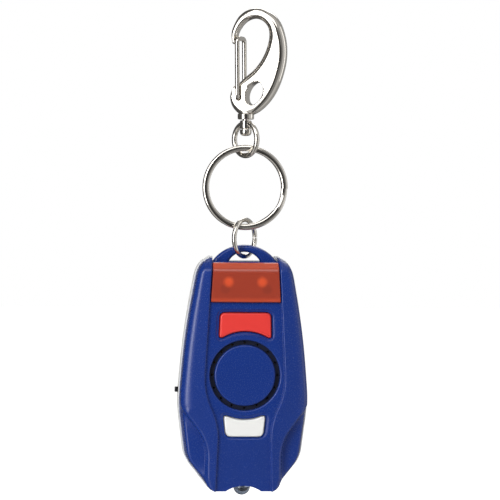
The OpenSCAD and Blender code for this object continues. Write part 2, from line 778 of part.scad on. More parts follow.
// The bail's arch: a disc with a rounded rim, cut off at the case top, with an arched slot.
bail_out_r = (bail_w * bail_w / 4 + bail_h * bail_h) / (2 * bail_h);
bail_slot_h = bail_h - bail_t;
bail_in_r = (bail_slot_w * bail_slot_w / 4 + bail_slot_h * bail_slot_h) / (2 * bail_slot_h);
bail_edge = 0.6;
module bail() {
    h = bail_depth / 2;
    translate([0, -h, top_z])
        rotate([90, 0, 0])
            difference() {
                intersection() {
                    translate([0, bail_h - bail_out_r, 0])
                        rotate_extrude($fn = 96)
                            polygon([
                                [0, -h], [bail_out_r - bail_edge, -h],
                                for (a = [-75 : 15 : 75])
                                    [bail_out_r - bail_edge + bail_edge * cos(a),
                                        sign(a) * (h - bail_edge) + bail_edge * sin(a)],
                                [bail_out_r - bail_edge, h], [0, h]
                            ]);
                    translate([-bail_w, -1, -h - 1])
                        cube([2 * bail_w, bail_h + 2, bail_depth + 2]);
                }
                intersection() {
                    translate([0, bail_slot_h - bail_in_r, 0])
                        rotate_extrude($fn = 96)
                            polygon([
                                [0, -h - 0.1], [bail_in_r + bail_edge, -h - 0.1],
                                [bail_in_r + bail_edge, -h],
                                for (a = [-75 : 15 : 75])
                                    [bail_in_r + bail_edge - bail_edge * cos(a),
                                        sign(a) * (h - bail_edge) + bail_edge * sin(a)],
                                [bail_in_r + bail_edge, h],
                                [bail_in_r + bail_edge, h + 0.1], [0, h + 0.1]
                            ]);
                    translate([-bail_w, 0, -h - 1])
                        cube([2 * bail_w, bail_h + 2, bail_depth + 2]);
                }
            }
}

// The shoulders and the sunk middle of the top, cut square across the case.
outline_end = len(outline_half) - 1;
shoulder_line = [for (i = [outline_end - 6 : outline_end]) outline_half[i]];
module roof_cut() {
    low = shoulder_line[0][1];
    dip = half_channel(top_z) + 0.15;
    slab(-20, 20)
        polygon(concat(
            [[30, case_h + 5], [30, low]],
            shoulder_line,
            [[dip, top_z], [-dip, top_z]],
            [for (i = [0 : 6]) [-shoulder_line[6 - i][0], shoulder_line[6 - i][1]]],
            [[-30, low], [-30, case_h + 5]]
        ));
}

function pillar_top(p) = p[1] > waist_z ? inner_front + 0.5 : scallop_depth - 1.2;

module front_shell() {
    color(blue)
        in_case()
            difference() {
                union() {
                    difference() {
                        loft([for (z = front_heights) front_ring(z)]);
                        loft([for (z = cavity_heights) cavity_ring(z)]);
                        roof_cut();
                        translate([-50, -50, -50])
                            cube([100, 100, 50]);
                    }
                    for (p = screw_places)
                        rod(p[0], p[1], 0, pillar_top(p), pillar_d / 2);
                    bail();
                }
                for (p = screw_places)
                    rod(p[0], p[1], -1, screw_reach + 0.4, screw_d / 2 + screw_fit);
                intersection() {
                    slab(0, 20)
                        lens_outline(lens_gap, top_z + 1);
                    crown_band(-9, lens_t, lens_low - 1, top_z + 1);
                }
                slab(board_front, 20)
                    window_outline();
                rod(0, siren_z, capsule_front - 1, 20, siren_d / 2);
                translate([0, -front_depth, siren_z])
                    rotate([90, 0, 0])
                        translate([0, 0, -0.35])
                            cylinder(h = 1, r1 = siren_d / 2, r2 = siren_d / 2 + 1);
                button_slab(alarm_outline(), button_gap, capsule_front - 1, 20);
                button_slab(torch_outline(), button_gap, capsule_front - 1, 20);
                for (line = [alarm_outline(), torch_outline()])
                    button_slab(line, button_margin, front_depth - margin_depth, 20);
                foot_notch();
                torch_bore();
            }
}

// Rear shell: the outline carried back, with a rounded edge and one flat face.
rear_outline = inset(concat([
    for (i = [0 : outline_end]) [-outline_half[outline_end - i][0], outline_half[outline_end - i][1]]
], outline_half), -rear_lip);
function turned(line) = [for (i = [1 : len(line)]) line[len(line) - i]];
function rear_level(d, y) = [for (p = turned(inset(rear_outline, d))) [p[0], y, p[1]]];
function rear_rings(d, depth, r) = [
    rear_level(d, d > 0 ? -0.5 : 0),
    rear_level(d, depth - r),
    for (a = [22.5 : 22.5 : 90]) rear_level(d + r * 0.8 * (1 - cos(a)), depth - r + r * sin(a))
];
cell_places = [for (k = [0 : 2]) cell_z + k * cell_pitch];
rest_places = [
    for (s = [-1, 1]) each [[s * (board_w / 2 - 1.6), case_h - 8.6], [s * 7.8, 10.4]]
];

module rear_shell() {
    color(white)
        in_case()
            difference() {
                union() {
                    difference() {
                        loft(rear_rings(0, rear_depth, rear_r));
                        intersection() {
                            loft(rear_rings(wall + rear_lip, inner_rear, max(rear_r - wall, 0.8)));
                            translate([-50, -5, foot_wall])
                                cube([100, 50, top_z - 1.6 - foot_wall]);
                        }
                        translate([-half_channel(top_z) + 0.4, -20, top_z])
                            cube([2 * half_channel(top_z) - 0.8, 40, 10]);
                    }
                    for (p = screw_places)
                        rod(p[0], p[1], -inner_rear - 0.3, 0, pillar_d / 2);
                    for (p = rest_places)
                        rod(p[0], p[1], -inner_rear - 0.3, board_back, 1.2);
                    for (z = cell_places)
                        difference() {
                            rod(0, z, -inner_rear - 0.3, -inner_rear + 3, cell_d / 2 + 0.75);
                            rod(0, z, -inner_rear - 1, 4, cell_d / 2 + 0.1);
                        }
                }
                for (p = screw_places) {
                    rod(p[0], p[1], -rear_depth - 1, 1, screw_d / 2 + 0.2);
                    rod(p[0], p[1], -rear_depth - 1, screw_seat, screw_head_d / 2 + 0.15);
                }
                translate([-waist_w / 2 - 2, knob_y - knob_w / 2 - knob_gap, knob_z - knob_w / 2 - knob_gap])
                    cube([5.5, knob_w + 2 * knob_gap, knob_w + knob_travel + 2 * knob_gap]);
                foot_notch();
                torch_bore();
            }
}

module strobe_lens() {
    color(amber)
        in_case()
            intersection() {
                slab(0, 20)
                    lens_outline(0, lens_top + 1);
                crown_band(0, lens_t, lens_low - 1, lens_top);
            }
}

// A round lamp standing along +Z from its flange.
module lamp(d, straight) {
    rotate_extrude()
        polygon([
            [0, 0], [d / 2 + 0.4, 0], [d / 2 + 0.4, 0.9], [d / 2, 0.9],
            for (a = [0 : 10 : 80]) [d / 2 * cos(a), straight + d / 2 * sin(a)],
            [0, straight + d / 2]
        ]);
}

module strobe_leds() {
    color(clear)
        in_case()
            for (s = [-1, 1])
                translate([s * strobe_pitch / 2, -board_front, strobe_z])
                    rotate([90, 0, 0])
                        lamp(strobe_d, inner_front - board_front - strobe_d / 2);
}

module strobe_led_leads() {
    color(steel)
        in_case()
            for (s = [-1, 1], k = [-1, 1])
                rod(s * strobe_pitch / 2 + k * 0.9, strobe_z, board_back - 0.6, board_front, 0.25);
}

// A button: cap with a crowned face, flange behind the front wall, and a stem.
module button(line, z) {
    intersection() {
        button_slab(line, 0, flange_front - 0.2, button_face);
        translate([-20, 60 - button_face, z])
            rotate([0, 90, 0])
                cylinder(h = 40, r = 60, $fn = 180);
    }
    button_slab(line, button_flange, flange_back, flange_front);
    rod(0, z, plunger_front, flange_back + 0.2, 1.9);
}

// A tactile switch housing on the board, with the bore that its plunger runs in.
module tact_housing(z) {
    difference() {
        translate([-3, -switch_front, z - 3])
            cube([6, switch_front - board_front, 6]);
        rod(0, z, board_front + 0.6, switch_front + 1, 1.6 + swivel_fit);
    }
}

module tact_plunger(z) {
    rod(0, z, board_front + 0.6 + button_travel + 0.1, plunger_front, 1.6);
}

module alarm_button() {
    color(red)
        in_case()
            button(alarm_outline(), alarm_z);
}

module alarm_switch() {
    color(black)
        in_case()
            tact_housing(alarm_z);
}

module alarm_switch_plunger() {
    color(red)
        in_case()
            tact_plunger(alarm_z);
}

module torch_button() {
    color(white)
        in_case()
            button(torch_outline(), torch_z);
}

module torch_switch() {
    color(black)
        in_case()
            tact_housing(torch_z);
}

module torch_switch_plunger() {
    color(white)
        in_case()
            tact_plunger(torch_z);
}

// Siren cover: a disc with a rounded rim, on a stem that stands on the capsule.
module siren_cap() {
    r = 0.5;
    h = cap_back + siren_cap_t - capsule_front;
    color(blue)
        in_case()
            translate([0, -capsule_front, siren_z])
                rotate([90, 0, 0])
                    rotate_extrude()
                        polygon([
                            [0, 0], [3, 0], [3, cap_back - capsule_front],
                            [cap_r, cap_back - capsule_front],
                            for (a = [0 : 15 : 75])
                                [cap_r - r + r * cos(a), h - r + r * sin(a)],
                            [cap_r - r, h], [0, h]
                        ]);
}

// Siren capsule: a cup open to the board, with a step that the sounder disc sits against.
module siren_capsule() {
    color(black)
        in_case()
            difference() {
                translate([0, 0, siren_z])
                    rotate([90, 0, 0])
                        rotate_extrude()
                            polygon([
                                [0, capsule_plate], [capsule_r - capsule_wall - 0.7, capsule_plate],
                                [capsule_r - capsule_wall - 0.7, piezo_front],
                                [capsule_r - capsule_wall, piezo_front],
                                [capsule_r - capsule_wall, board_front], [capsule_r, board_front],
                                [capsule_r, capsule_front], [0, capsule_front]
                            ]);
                for (k = [0 : sound_holes - 1])
                    translate([0, 0, siren_z])
                        rotate([0, k * 360 / sound_holes, 0])
                            rod((siren_d - siren_groove) / 2, 0, capsule_plate - 1, capsule_front + 1, 0.35);
            }
}

module piezo_plate() {
    color(brass)
        in_case()
            rod(0, siren_z, piezo_front - piezo_t, piezo_front, capsule_r - capsule_wall - swivel_fit);
}

module piezo_ceramic() {
    color(ceramic)
        in_case()
            rod(0, siren_z, piezo_front - piezo_t - ceramic_t, piezo_front - piezo_t, siren_d / 3);
}

module siren_contacts() {
    color(brass)
        in_case() {
            rod(siren_d / 3 + 1.5, siren_z, board_front, piezo_front - piezo_t, 0.5);
            rod(-siren_d / 6, siren_z, board_front, piezo_front - piezo_t - ceramic_t, 0.5);
        }
}

module torch_led() {
    color(clear)
        in_case()
            translate([0, 0, torch_base])
                rotate([180, 0, 0])
                    lamp(torch_d, torch_l);
}

module torch_led_leads() {
    color(steel)
        in_case()
            for (k = [-1, 1])
                translate([k * 1.27 - 0.25, -board_back, torch_base])
                    cube([0.5, 0.5, 4 + torch_out]);
}

// Slide switch on the back of the board, open to the side for its knob.
module slide_switch() {
    color(steel)
        in_case()
            difference() {
                translate([slide_x - 3.6, -board_back, knob_z + knob_travel / 2 - 4.3])
                    cube([3.6, 3.6, 8.6]);
                translate([slide_x - 4, knob_y - knob_w / 2 - 0.1, knob_z - knob_w / 2 - 0.1])
                    cube([2.6, knob_w + 0.2, knob_w + knob_travel + 0.2]);
            }
}

module switch_knob() {
    color(black)
        in_case()
            translate([-waist_w / 2 - knob_out, knob_y - knob_w / 2, knob_z - knob_w / 2])
                cube([waist_w / 2 + knob_out + slide_x - 1.5, knob_w, knob_w]);
}

module circuit_board() {
    low = foot_wall + torch_l + 0.4;
    high = case_h - 5.6;
    a = board_w / 2;
    b = board_wing_w / 2;
    wing_low = waist_z - 6;
    wing_high = chest_z - 2;
    color(green)
        in_case()
            difference() {
                slab(board_back, board_front)
                    polygon([
                        [-a, low], [a, low], [a, wing_low], [b, wing_low], [b, wing_high],
                        [a, wing_high], [a, high], [-a, high], [-a, wing_high], [-b, wing_high],
                        [-b, wing_low], [-a, wing_low]
                    ]);
                for (s = [-1, 1], k = [-1, 1])
                    rod(s * strobe_pitch / 2 + k * 0.9, strobe_z, -1, 3, 0.25 + swivel_fit);
            }
}

module control_chip() {
    color(black)
        in_case()
            translate([-strobe_pitch / 2 - 1.2, -board_front - 1.4, chip_z])
                cube([4, 1.4, chip_h]);
}

module reservoir_capacitor() {
    color(steel)
        in_case()
            rod(board_w / 2 + 2, waist_z - 3, board_front, board_front + 3.6, 2);
}

// Step-up coil: a drum core with its winding in the waist.
module boost_coil() {
    color(black)
        in_case()
            translate([strobe_pitch / 2 - 1.6, -board_front, coil_z])
                rotate([90, 0, 0])
                    rotate_extrude()
                        polygon([
                            [0, 0], [coil_r, 0], [coil_r, 0.6], [1.2, 0.6],
                            [1.2, 2.2], [coil_r, 2.2], [coil_r, 2.8], [0, 2.8]
                        ]);
}

module boost_winding() {
    color(copper)
        in_case()
            translate([strobe_pitch / 2 - 1.6, -board_front, coil_z])
                rotate([90, 0, 0])
                    rotate_extrude()
                        polygon([[1.2, 0.6], [coil_r - 0.2, 0.6], [coil_r - 0.2, 2.2], [1.2, 2.2]]);
}

module button_cells() {
    color(steel)
        in_case()
            for (z = cell_places) {
                rod(0, z, cell_rear, cell_front - 0.5, cell_d / 2);
                rod(0, z, cell_front - 0.7, cell_front, cell_d / 2 - 1);
            }
}

// Contact cups on the back of the board, pressed on the cells.
module cell_springs() {
    t = 0.25;
    h = board_back - cell_front;
    color(steel)
        in_case()
            for (z = cell_places)
                translate([0, -board_back, z])
                    rotate([-90, 0, 0])
                        rotate_extrude()
                            polygon([
                                [cup_r - 0.6, 0], [cup_r, 0], [cup_r / 2, h],
                                [0, h], [0, h - t], [cup_r / 2 - 0.2, h - t]
                            ]);
}

module cell_plates() {
    color(steel)
        in_case()
            for (z = cell_places)
                rod(0, z, -inner_rear, cell_rear, cell_d / 2 - 0.6);
}

module case_screws() {
    color(steel)
        in_case()
            for (p = screw_places) {
                rod(p[0], p[1], screw_seat - screw_head_h, screw_seat, screw_head_d / 2);
                rod(p[0], p[1], screw_seat - 0.3, screw_reach, screw_d / 2);
            }
}

hook_body();
gate_wire();
swivel_rivet();
swivel_eye();
split_ring();
jump_ring();
front_shell();
rear_shell();
strobe_lens();
strobe_leds();
strobe_led_leads();
alarm_button();
alarm_switch();
alarm_switch_plunger();
torch_button();
torch_switch();
torch_switch_plunger();
siren_cap();
siren_capsule();
piezo_plate();
piezo_ceramic();
siren_contacts();
torch_led();
torch_led_leads();
slide_switch();
switch_knob();
circuit_board();
control_chip();
reservoir_capacitor();
boost_coil();
boost_winding();
button_cells();
cell_springs();
cell_plates();
case_screws();
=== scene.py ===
"""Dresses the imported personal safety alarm: smooth moulded shells, plated metal, finishes and a studio."""
import json
import math
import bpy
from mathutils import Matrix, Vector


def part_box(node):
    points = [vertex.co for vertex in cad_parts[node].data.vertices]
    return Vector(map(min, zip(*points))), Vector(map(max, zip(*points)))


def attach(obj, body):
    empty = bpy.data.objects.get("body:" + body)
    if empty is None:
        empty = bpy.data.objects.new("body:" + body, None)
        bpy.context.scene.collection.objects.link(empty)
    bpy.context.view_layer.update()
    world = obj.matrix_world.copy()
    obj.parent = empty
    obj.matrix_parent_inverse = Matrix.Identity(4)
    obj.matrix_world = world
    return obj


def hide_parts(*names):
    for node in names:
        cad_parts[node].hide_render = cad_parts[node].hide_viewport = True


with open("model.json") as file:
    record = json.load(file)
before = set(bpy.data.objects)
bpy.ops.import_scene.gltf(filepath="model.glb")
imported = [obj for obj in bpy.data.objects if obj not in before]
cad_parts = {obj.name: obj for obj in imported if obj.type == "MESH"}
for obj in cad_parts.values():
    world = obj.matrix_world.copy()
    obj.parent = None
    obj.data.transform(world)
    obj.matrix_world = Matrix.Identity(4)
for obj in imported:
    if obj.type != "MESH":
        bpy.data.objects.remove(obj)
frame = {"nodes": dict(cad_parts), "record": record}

from types import SimpleNamespace

import bmesh
import bpy
from mathutils import Matrix, Vector

bl_info = {
    "name": "Personal safety alarm",
    "version": (1, 0, 0),
    "blender": (4, 5, 0),
    "location": "View3D > Sidebar > Alarm",
    "description": "Builds the visible pieces of a personal safety alarm over its packed frame",
    "category": "Add Mesh",
}

MM = 0.001
QUARTER = math.pi / 2
FULL_TURN = 2 * math.pi
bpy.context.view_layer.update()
# The front shell's box gives the parting plane and the foot of the case.
PARTING_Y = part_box("front_shell")[1].y
FOOT_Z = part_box("front_shell")[0].z
# A soft corner takes at most this share of the lines beside it.
CORNER_SHARE = 0.48
# An inset never runs further into a sharp corner than this allows.
MITRE = 0.3
# Points closer than this are one point.
WELD = 1e-8
# Radius of the small flat at the middle of a turned face.
POLE = 0.01 * MM
# A cutting tool reaches this far past the case, front and back.
THROUGH = 20 * MM
# Noise textures lie mostly between these values.
NOISE_LOW, NOISE_HIGH = 0.3, 0.7
# Inputs of a Map Range node, in order.
RANGE = ("Value", "From Min", "From Max", "To Min", "To Max")


def linear(code):
    """Linear colour of an sRGB hex value."""
    parts = [((code >> shift) & 255) / 255 for shift in (16, 8, 0)]
    return tuple(c / 12.92 if c <= 0.04045 else ((c + 0.055) / 1.055) ** 2.4 for c in parts)


def length(name, description, mm):
    """A size in millimetres, kept in metres."""
    return bpy.props.FloatProperty(
        name=name, description=description, default=mm * MM, unit="LENGTH", precision=5
    )


def turn(name, description, degrees):
    """An angle in degrees, kept in radians."""
    return bpy.props.FloatProperty(
        name=name, description=description, default=math.radians(degrees), subtype="ANGLE"
    )


def tint(name, description, code):
    """A colour given as an sRGB hex value."""
    return bpy.props.FloatVectorProperty(
        name=name, description=description, default=linear(code), subtype="COLOR", size=3, min=0, max=1
    )


class AlarmHookSizes(bpy.types.PropertyGroup):
    """Sizes of the snap hook, its gate and its swivel."""

    plate: length("Plate", "Thickness of the hook plate", 4.2)
    edge: length("Edge", "Width of the plate's rounded edges", 2.0)
    facing: turn("Hook turn", "Turn of the hook about the swivel", -26)
    oval_w: length("Oval width", "Width of the oval hole", 4.9)
    oval_l: length("Oval length", "Length of the oval hole", 7.4)
    oval_lean: turn("Oval lean", "Lean of the oval hole", 28)
    wire: length("Gate wire", "Diameter of the gate wire", 1.4)
    bend: length("Gate bend", "Bend radius of the gate wire", 1.2)
    room: length("Gate room", "Room between the gate and the plate", 0.15)
    pin: length("Gate pin", "Length of a gate pin inside the plate", 1.3)
    collar_d: length("Collar", "Diameter of the collar", 4.9)
    collar_h: length("Collar height", "Height of the collar", 1.8)
    rivet_d: length("Rivet", "Diameter of the rivet's shank", 1.9)
    boss_d: length("Boss", "Diameter of the eye's boss", 3.5)
    boss_h: length("Boss height", "Height of the eye's boss", 2.5)
    eye_d: length("Eye", "Diameter of the eye on its centre line", 9.7)
    eye_wire: length("Eye wire", "Thickness of the eye's wire", 1.6)
    eye_facing: turn("Eye turn", "Turn of the eye about the swivel", -51)


class AlarmRingSizes(bpy.types.PropertyGroup):
    """Sizes of the split ring and the jump ring."""

    split_d: length("Split ring", "Outside diameter of the split ring", 25.5)
    split_w: length("Split ring width", "Radial width of the split ring's wire", 1.9)
    split_t: length("Split ring turn", "Thickness of one turn", 1.1)
    split_gap: length("Split gap", "Gap between the two turns", 0.42)
    crossing: turn("Crossing", "Half of the arc in which the wire changes sides", 14)
    seam: turn("Seam", "Place of the crossing", -20)
    jump_d: length("Jump ring", "Diameter of the jump ring on its centre line", 11)
    jump_wire: length("Jump ring wire", "Wire diameter of the jump ring", 1.4)
    jump_facing: turn("Jump ring turn", "Turn of the jump ring about the hanging line", 51)
    jump_cut: length("Jump ring cut", "Cut of the jump ring", 0.2)


class AlarmCaseSizes(bpy.types.PropertyGroup):
    """Sizes of the moulded case and of what shows in it."""

    height: length("Height", "Height of the case at the shoulders", 69.6)
    foot_w: length("Foot", "Width of the flat foot", 19.4)
    hip_w: length("Hip", "Width at the lower corners", 34.6)
    hip_z: length("Hip height", "Height of the lower corners", 9.6)
    waist_w: length("Waist", "Width at the waist", 38.8)
    waist_z: length("Waist height", "Height of the waist", 26.2)
    chest_w: length("Chest", "Width at the chest", 35.2)
    chest_z: length("Chest height", "Height of the chest", 47.5)
    shoulder_w: length("Shoulders", "Width at the shoulders", 28)
    shoulder_drop: length("Shoulder drop", "Drop of the shoulders below the top", 2.3)
    crest_w: length("Crest", "Width between the shoulder tips", 20.6)
    crest_step: length("Crest step", "Height of the tips above the middle of the top", 1.1)
    front: length("Front depth", "Depth from the parting plane to the channel floor", 8)
    rear: length("Rear depth", "Depth of the rear shell", 7.6)
    wall: length("Wall", "Wall thickness", 1.5)
    toe: length("Toe depth", "Depth of the front at the foot", 6.8)
    toe_z: length("Toe height", "Height at which the front starts to lean back", 15.6)
    crown: length("Crown depth", "Depth of the front at the top", 4.3)
    crown_h: length("Crown height", "Height of the sloping top", 3.3)
    rail: length("Rail", "Height of the rails above the channel", 1)
    rail_slope: turn("Rail slope", "Outward slope of the rails", 9)
    draft: length("Draft", "Lean of the side walls", 0.2)
    lip: length("Rear lip", "Step of the rear shell's edge", 0.3)
    rear_r: length("Rear radius", "Radius of the back edge", 3)
    channel_foot_w: length("Channel foot", "Width of the channel at the foot", 16.4)
    channel_neck_w: length("Channel neck", "Width of the channel at its neck", 15)
    channel_neck_z: length("Neck height", "Height of the neck", 20)
    channel_wide_w: length("Channel", "Width of the channel round the siren", 24)
    channel_wide_z: length("Channel height", "Height of that widest place", 30)
    channel_top_w: length("Channel top", "Width of the channel at the top", 19.6)
    scallop_w: length("Scallops", "Width between the grip scallops", 21.8)
    scallop_z: length("Scallop height", "Height to which the scallops run straight", 15)
    scallop: length("Scallop depth", "Depth of the scallops' floor", 5.8)
    bail_h: length("Bail", "Height of the bail above the top", 5)
    bail_w: length("Bail span", "Span of the bail at its root", 19.4)
    bail_t: length("Bail arch", "Thickness of the bail's arch", 2.2)
    bail_slot: length("Bail slot", "Width of the slot under the bail", 9.4)
    bail_depth: length("Bail depth", "Depth of the bail, front to back", 3)
    lens_h: length("Window", "Height of the strobe window", 11.7)
    lens_t: length("Window thickness", "Thickness of the window", 1.8)
    lens_gap: length("Window gap", "Gap round the window", 0.15)
    siren_z: length("Siren height", "Height of the siren's centre", 34.8)
    siren_d: length("Siren", "Diameter of the round opening", 21)
    cover: length("Cover", "Thickness of the siren cover", 1.2)
    hollow: length("Button arc", "Radius of the buttons' hollow edges", 13.25)
    alarm_w: length("Alarm button", "Width of the alarm button", 15.4)
    alarm_top: length("Alarm button top", "Its top above the siren's centre", 18.6)
    alarm_low: length("Alarm button foot", "Its lowest points above the siren's centre", 11.3)
    torch_w: length("Torch button", "Width of the torch button at its top", 12.3)
    torch_foot_w: length("Torch button foot width", "Width of the torch button at its foot", 11)
    torch_top: length("Torch button top", "Its top points below the siren's centre", 12.2)
    torch_low: length("Torch button foot", "Its foot below the siren's centre", 18.2)
    rise: length("Button rise", "Height of the buttons above the channel floor", 0.6)
    gap: length("Button gap", "Gap round the buttons", 0.25)
    rebate: length("Rebate", "Width of the sunk margin round a button", 1.0)
    rebate_d: length("Rebate depth", "Depth of that margin", 0.35)
    torch_d: length("Torch lamp", "Diameter of the torch lamp", 5)
    notch_h: length("Notch", "Height of the arched notch at the foot", 1.7)
    notch_w: length("Notch width", "Width of the arched notch", 10.6)
    knob: length("Knob", "Side of the slide knob", 1.5)
    knob_z: length("Knob height", "Height of the slide knob", 29.8)
    knob_travel: length("Knob travel", "Travel of the slide knob", 2)
    screw_d: length("Screw", "Diameter of the screw shanks", 1.8)
    head_d: length("Screw head", "Diameter of the screw heads", 3.4)
    head_h: length("Screw head height", "Height of the screw heads", 1.2)


class AlarmColours(bpy.types.PropertyGroup):
    """Colours of the finishes."""

    blue: tint("Blue", "Moulded front", 0x113383)
    white: tint("White", "Moulded back and torch button", 0xF1F1EE)
    red: tint("Red", "Alarm button", 0xE93A34)
    amber: tint("Amber", "Strobe window", 0xA33A24)
    # Painted light: the colour of the glints painted into the window over the unlit lamps behind it.
    painted_glow: tint("Glow", "Lamps behind the window", 0xE4552B)
    black: tint("Black", "Capsule, knob and switches", 0x131318)
    nickel: tint("Nickel", "Plated metal", 0xD9D4CC)


class AlarmStageSizes(bpy.types.PropertyGroup):
    """Camera and studio."""

    azimuth: turn("Azimuth", "Camera's turn round the object", -5.0)
    elevation: turn("Elevation", "Camera's height above the horizon", 2.05)
    roll: turn("Roll", "Camera's roll", 0.6)
    distance: length("Distance", "Camera's distance", 700)
    field: length("Field", "Width of the picture at the object", 149.77)
    aim_x: length("Aim right", "Picture's centre to the right of the hanging line", 1.66)
    aim_z: length("Aim height", "Height of the picture's centre", -68.02)
    floor_z: length("Floor", "Height of the floor", -330)


# Shape helpers: soft corners, tables by height, insets and skins.
def mix(a, b, t):
    return a * (1 - t) + b * t


def clamp(v):
    return min(1.0, max(0.0, v))


def ease(v):
    return v * v * (3 - 2 * v)


def spread(a, b, n):
    """n values from a up to, but without, b."""
    return [a + (b - a) * i / n for i in range(n)]


def sweep(a, b, n):
    """n steps from a to b, with both ends."""
    return spread(a, b, n) + [b]


def levels(stops, end):
    """Values through the stops, each a value and the number of steps to the next, up to the end."""
    values = []
    for (a, n), (b, _) in zip(stops, stops[1:] + [(end, 0)]):
        values += spread(a, b, n)
    return values


def soft_corner(a, p, b, soft, n):
    """Points that round the corner p between a and b."""
    q = p + (a - p).normalized() * min(soft, CORNER_SHARE * (a - p).length)
    r = p + (b - p).normalized() * min(soft, CORNER_SHARE * (b - p).length)
    return [q * (1 - t) ** 2 + p * 2 * t * (1 - t) + r * t * t for t in sweep(0, 1, n)]


def soft_line(corners, n):
    """Rounded open line. Each corner is (x, y, softness)."""
    p = [Vector(c[:2]) for c in corners]
    line = [p[0]]
    for i in range(1, len(p) - 1):
        line += soft_corner(p[i - 1], p[i], p[i + 1], corners[i][2], n)
    return line + [p[-1]]


def grown(loop, d):
    """A counterclockwise loop moved outwards by d."""
    out = []
    for i, p in enumerate(loop):
        a = (p - loop[i - 1]).normalized()
        b = (loop[(i + 1) % len(loop)] - p).normalized()
        m, n = Vector((a.y, -a.x)), Vector((b.y, -b.x))
        out.append(p + (m + n) * (d / max(MITRE, 1 + m.dot(n))))
    return out


def by_height(line):
    """A line's points as a table of height and half width."""
    return [(p.y, p.x) for p in line]


def lookup(z, table):
    """The table's value at a height."""
    if z <= table[0][0]:
        return table[0][1]
    for (z0, v0), (z1, v1) in zip(table, table[1:]):
        if z <= z1:
            return mix(v0, v1, (z - z0) / max(z1 - z0, WELD))
    return table[-1][1]


def mirrored(half):
    """A line from the left edge over the middle to the right edge."""
    return [Vector((-p.x, p.y)) for p in half[:0:-1]] + list(half)


def skin(rings):
    """Points and faces over rings of equal length, closed at both ends."""
    n, m = len(rings[0]), len(rings)
    points = [p for ring in rings for p in ring]
    faces = [
        (j * n + i, j * n + (i + 1) % n, (j + 1) * n + (i + 1) % n, (j + 1) * n + i)
        for j in range(m - 1)
        for i in range(n)
    ]
    return points, faces + [tuple(range(n))[::-1], tuple(range((m - 1) * n, m * n))]


def lathe(profile, segments, x=0, y=0, z=0):
    """A profile of (radius, height) turned about an upright axis through a place."""
    turns = [(math.cos(a), math.sin(a)) for a in spread(0, FULL_TURN, segments)]
    return skin([[Vector((x + r * c, y + r * s, z + h)) for c, s in turns] for r, h in profile])


def rectangle(x0, x1, y0, y1):
    """Corners of a rectangle, in order round it."""
    return [(x0, y0), (x1, y0), (x1, y1), (x0, y1)]


def add_object(name, data):
    """New data as an object in the scene."""
    obj = bpy.data.objects.new(name, data)
    bpy.context.scene.collection.objects.link(obj)
    return obj


def piece(name, *shapes, place=None):
    """A mesh object of closed shapes, each a pair of points and faces, with its faces turned outwards."""
    bm = bmesh.new()
    for points, faces in shapes:
        verts = [bm.verts.new(place @ p if place else p) for p in points]
        for face in faces:
            bm.faces.new([verts[i] for i in face])
    bmesh.ops.remove_doubles(bm, verts=bm.verts, dist=WELD)
    bmesh.ops.dissolve_degenerate(bm, edges=bm.edges, dist=WELD)
    bmesh.ops.recalc_face_normals(bm, faces=bm.faces)
    mesh = bpy.data.meshes.new(name)
    bm.to_mesh(mesh)
    bm.free()
    return add_object(name, mesh)


def bake(obj):
    """Turns the object's modifiers into plain mesh."""
    graph = bpy.context.evaluated_depsgraph_get()
    old = obj.data
    mesh = bpy.data.meshes.new_from_object(obj.evaluated_get(graph))
    obj.modifiers.clear()
    obj.data = mesh
    mesh.name = obj.name
    bpy.data.meshes.remove(old)


def carve(obj, tool, operation="DIFFERENCE"):
    """Cuts a tool out of the object, or joins it on, and removes the tool."""
    step = obj.modifiers.new("Carve", "BOOLEAN")
    step.operation = operation
    step.solver = "EXACT"
    step.object = tool
    bake(obj)
    bpy.data.objects.remove(tool)


def rounded(obj, width, segments=3, angle=40):
    """Rounds the object's sharp edges."""
    step = obj.modifiers.new("Round", "BEVEL")
    step.width = width
    step.segments = segments
    step.limit_method = "ANGLE"
    step.angle_limit = math.radians(angle)
    bake(obj)


def settle(obj, body, slot, *nodes, angle=32):
    """Shades a piece, gives it its finish and lets it ride on its body in place of its CAD nodes."""
    obj.data.shade_smooth()
    obj.data.set_sharp_from_angle(angle=math.radians(angle))
    step = obj.modifiers.new("Normals", "WEIGHTED_NORMAL")
    step.keep_sharp = True
    bake(obj)
    obj.data.materials.clear()
    obj.data.materials.append(finishes()[slot])
    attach(obj, body)
    if nodes:
        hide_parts(*nodes)


def put(tree, kind, inputs=None, **settings):
    """Adds a node with its settings. Inputs are values or sockets, by name or number."""
    node = tree.nodes.new(kind)
    for key, value in settings.items():
        setattr(node, key, value)
    for key, value in (inputs or {}).items():
        if isinstance(value, bpy.types.NodeSocket):
            tree.links.new(value, node.inputs[key])
        else:
            node.inputs[key].default_value = value
    return node


def rgba(colour, gain=1.0):
    return tuple(min(1.0, c * gain) for c in colour) + (1.0,)


def new_finish(name):
    """An empty node material and its Object coordinates, in metres."""
    material = bpy.data.materials.new(name)
    material.use_nodes = True
    tree = material.node_tree
    tree.nodes.clear()
    return material, tree, put(tree, "ShaderNodeTexCoord").outputs["Object"]


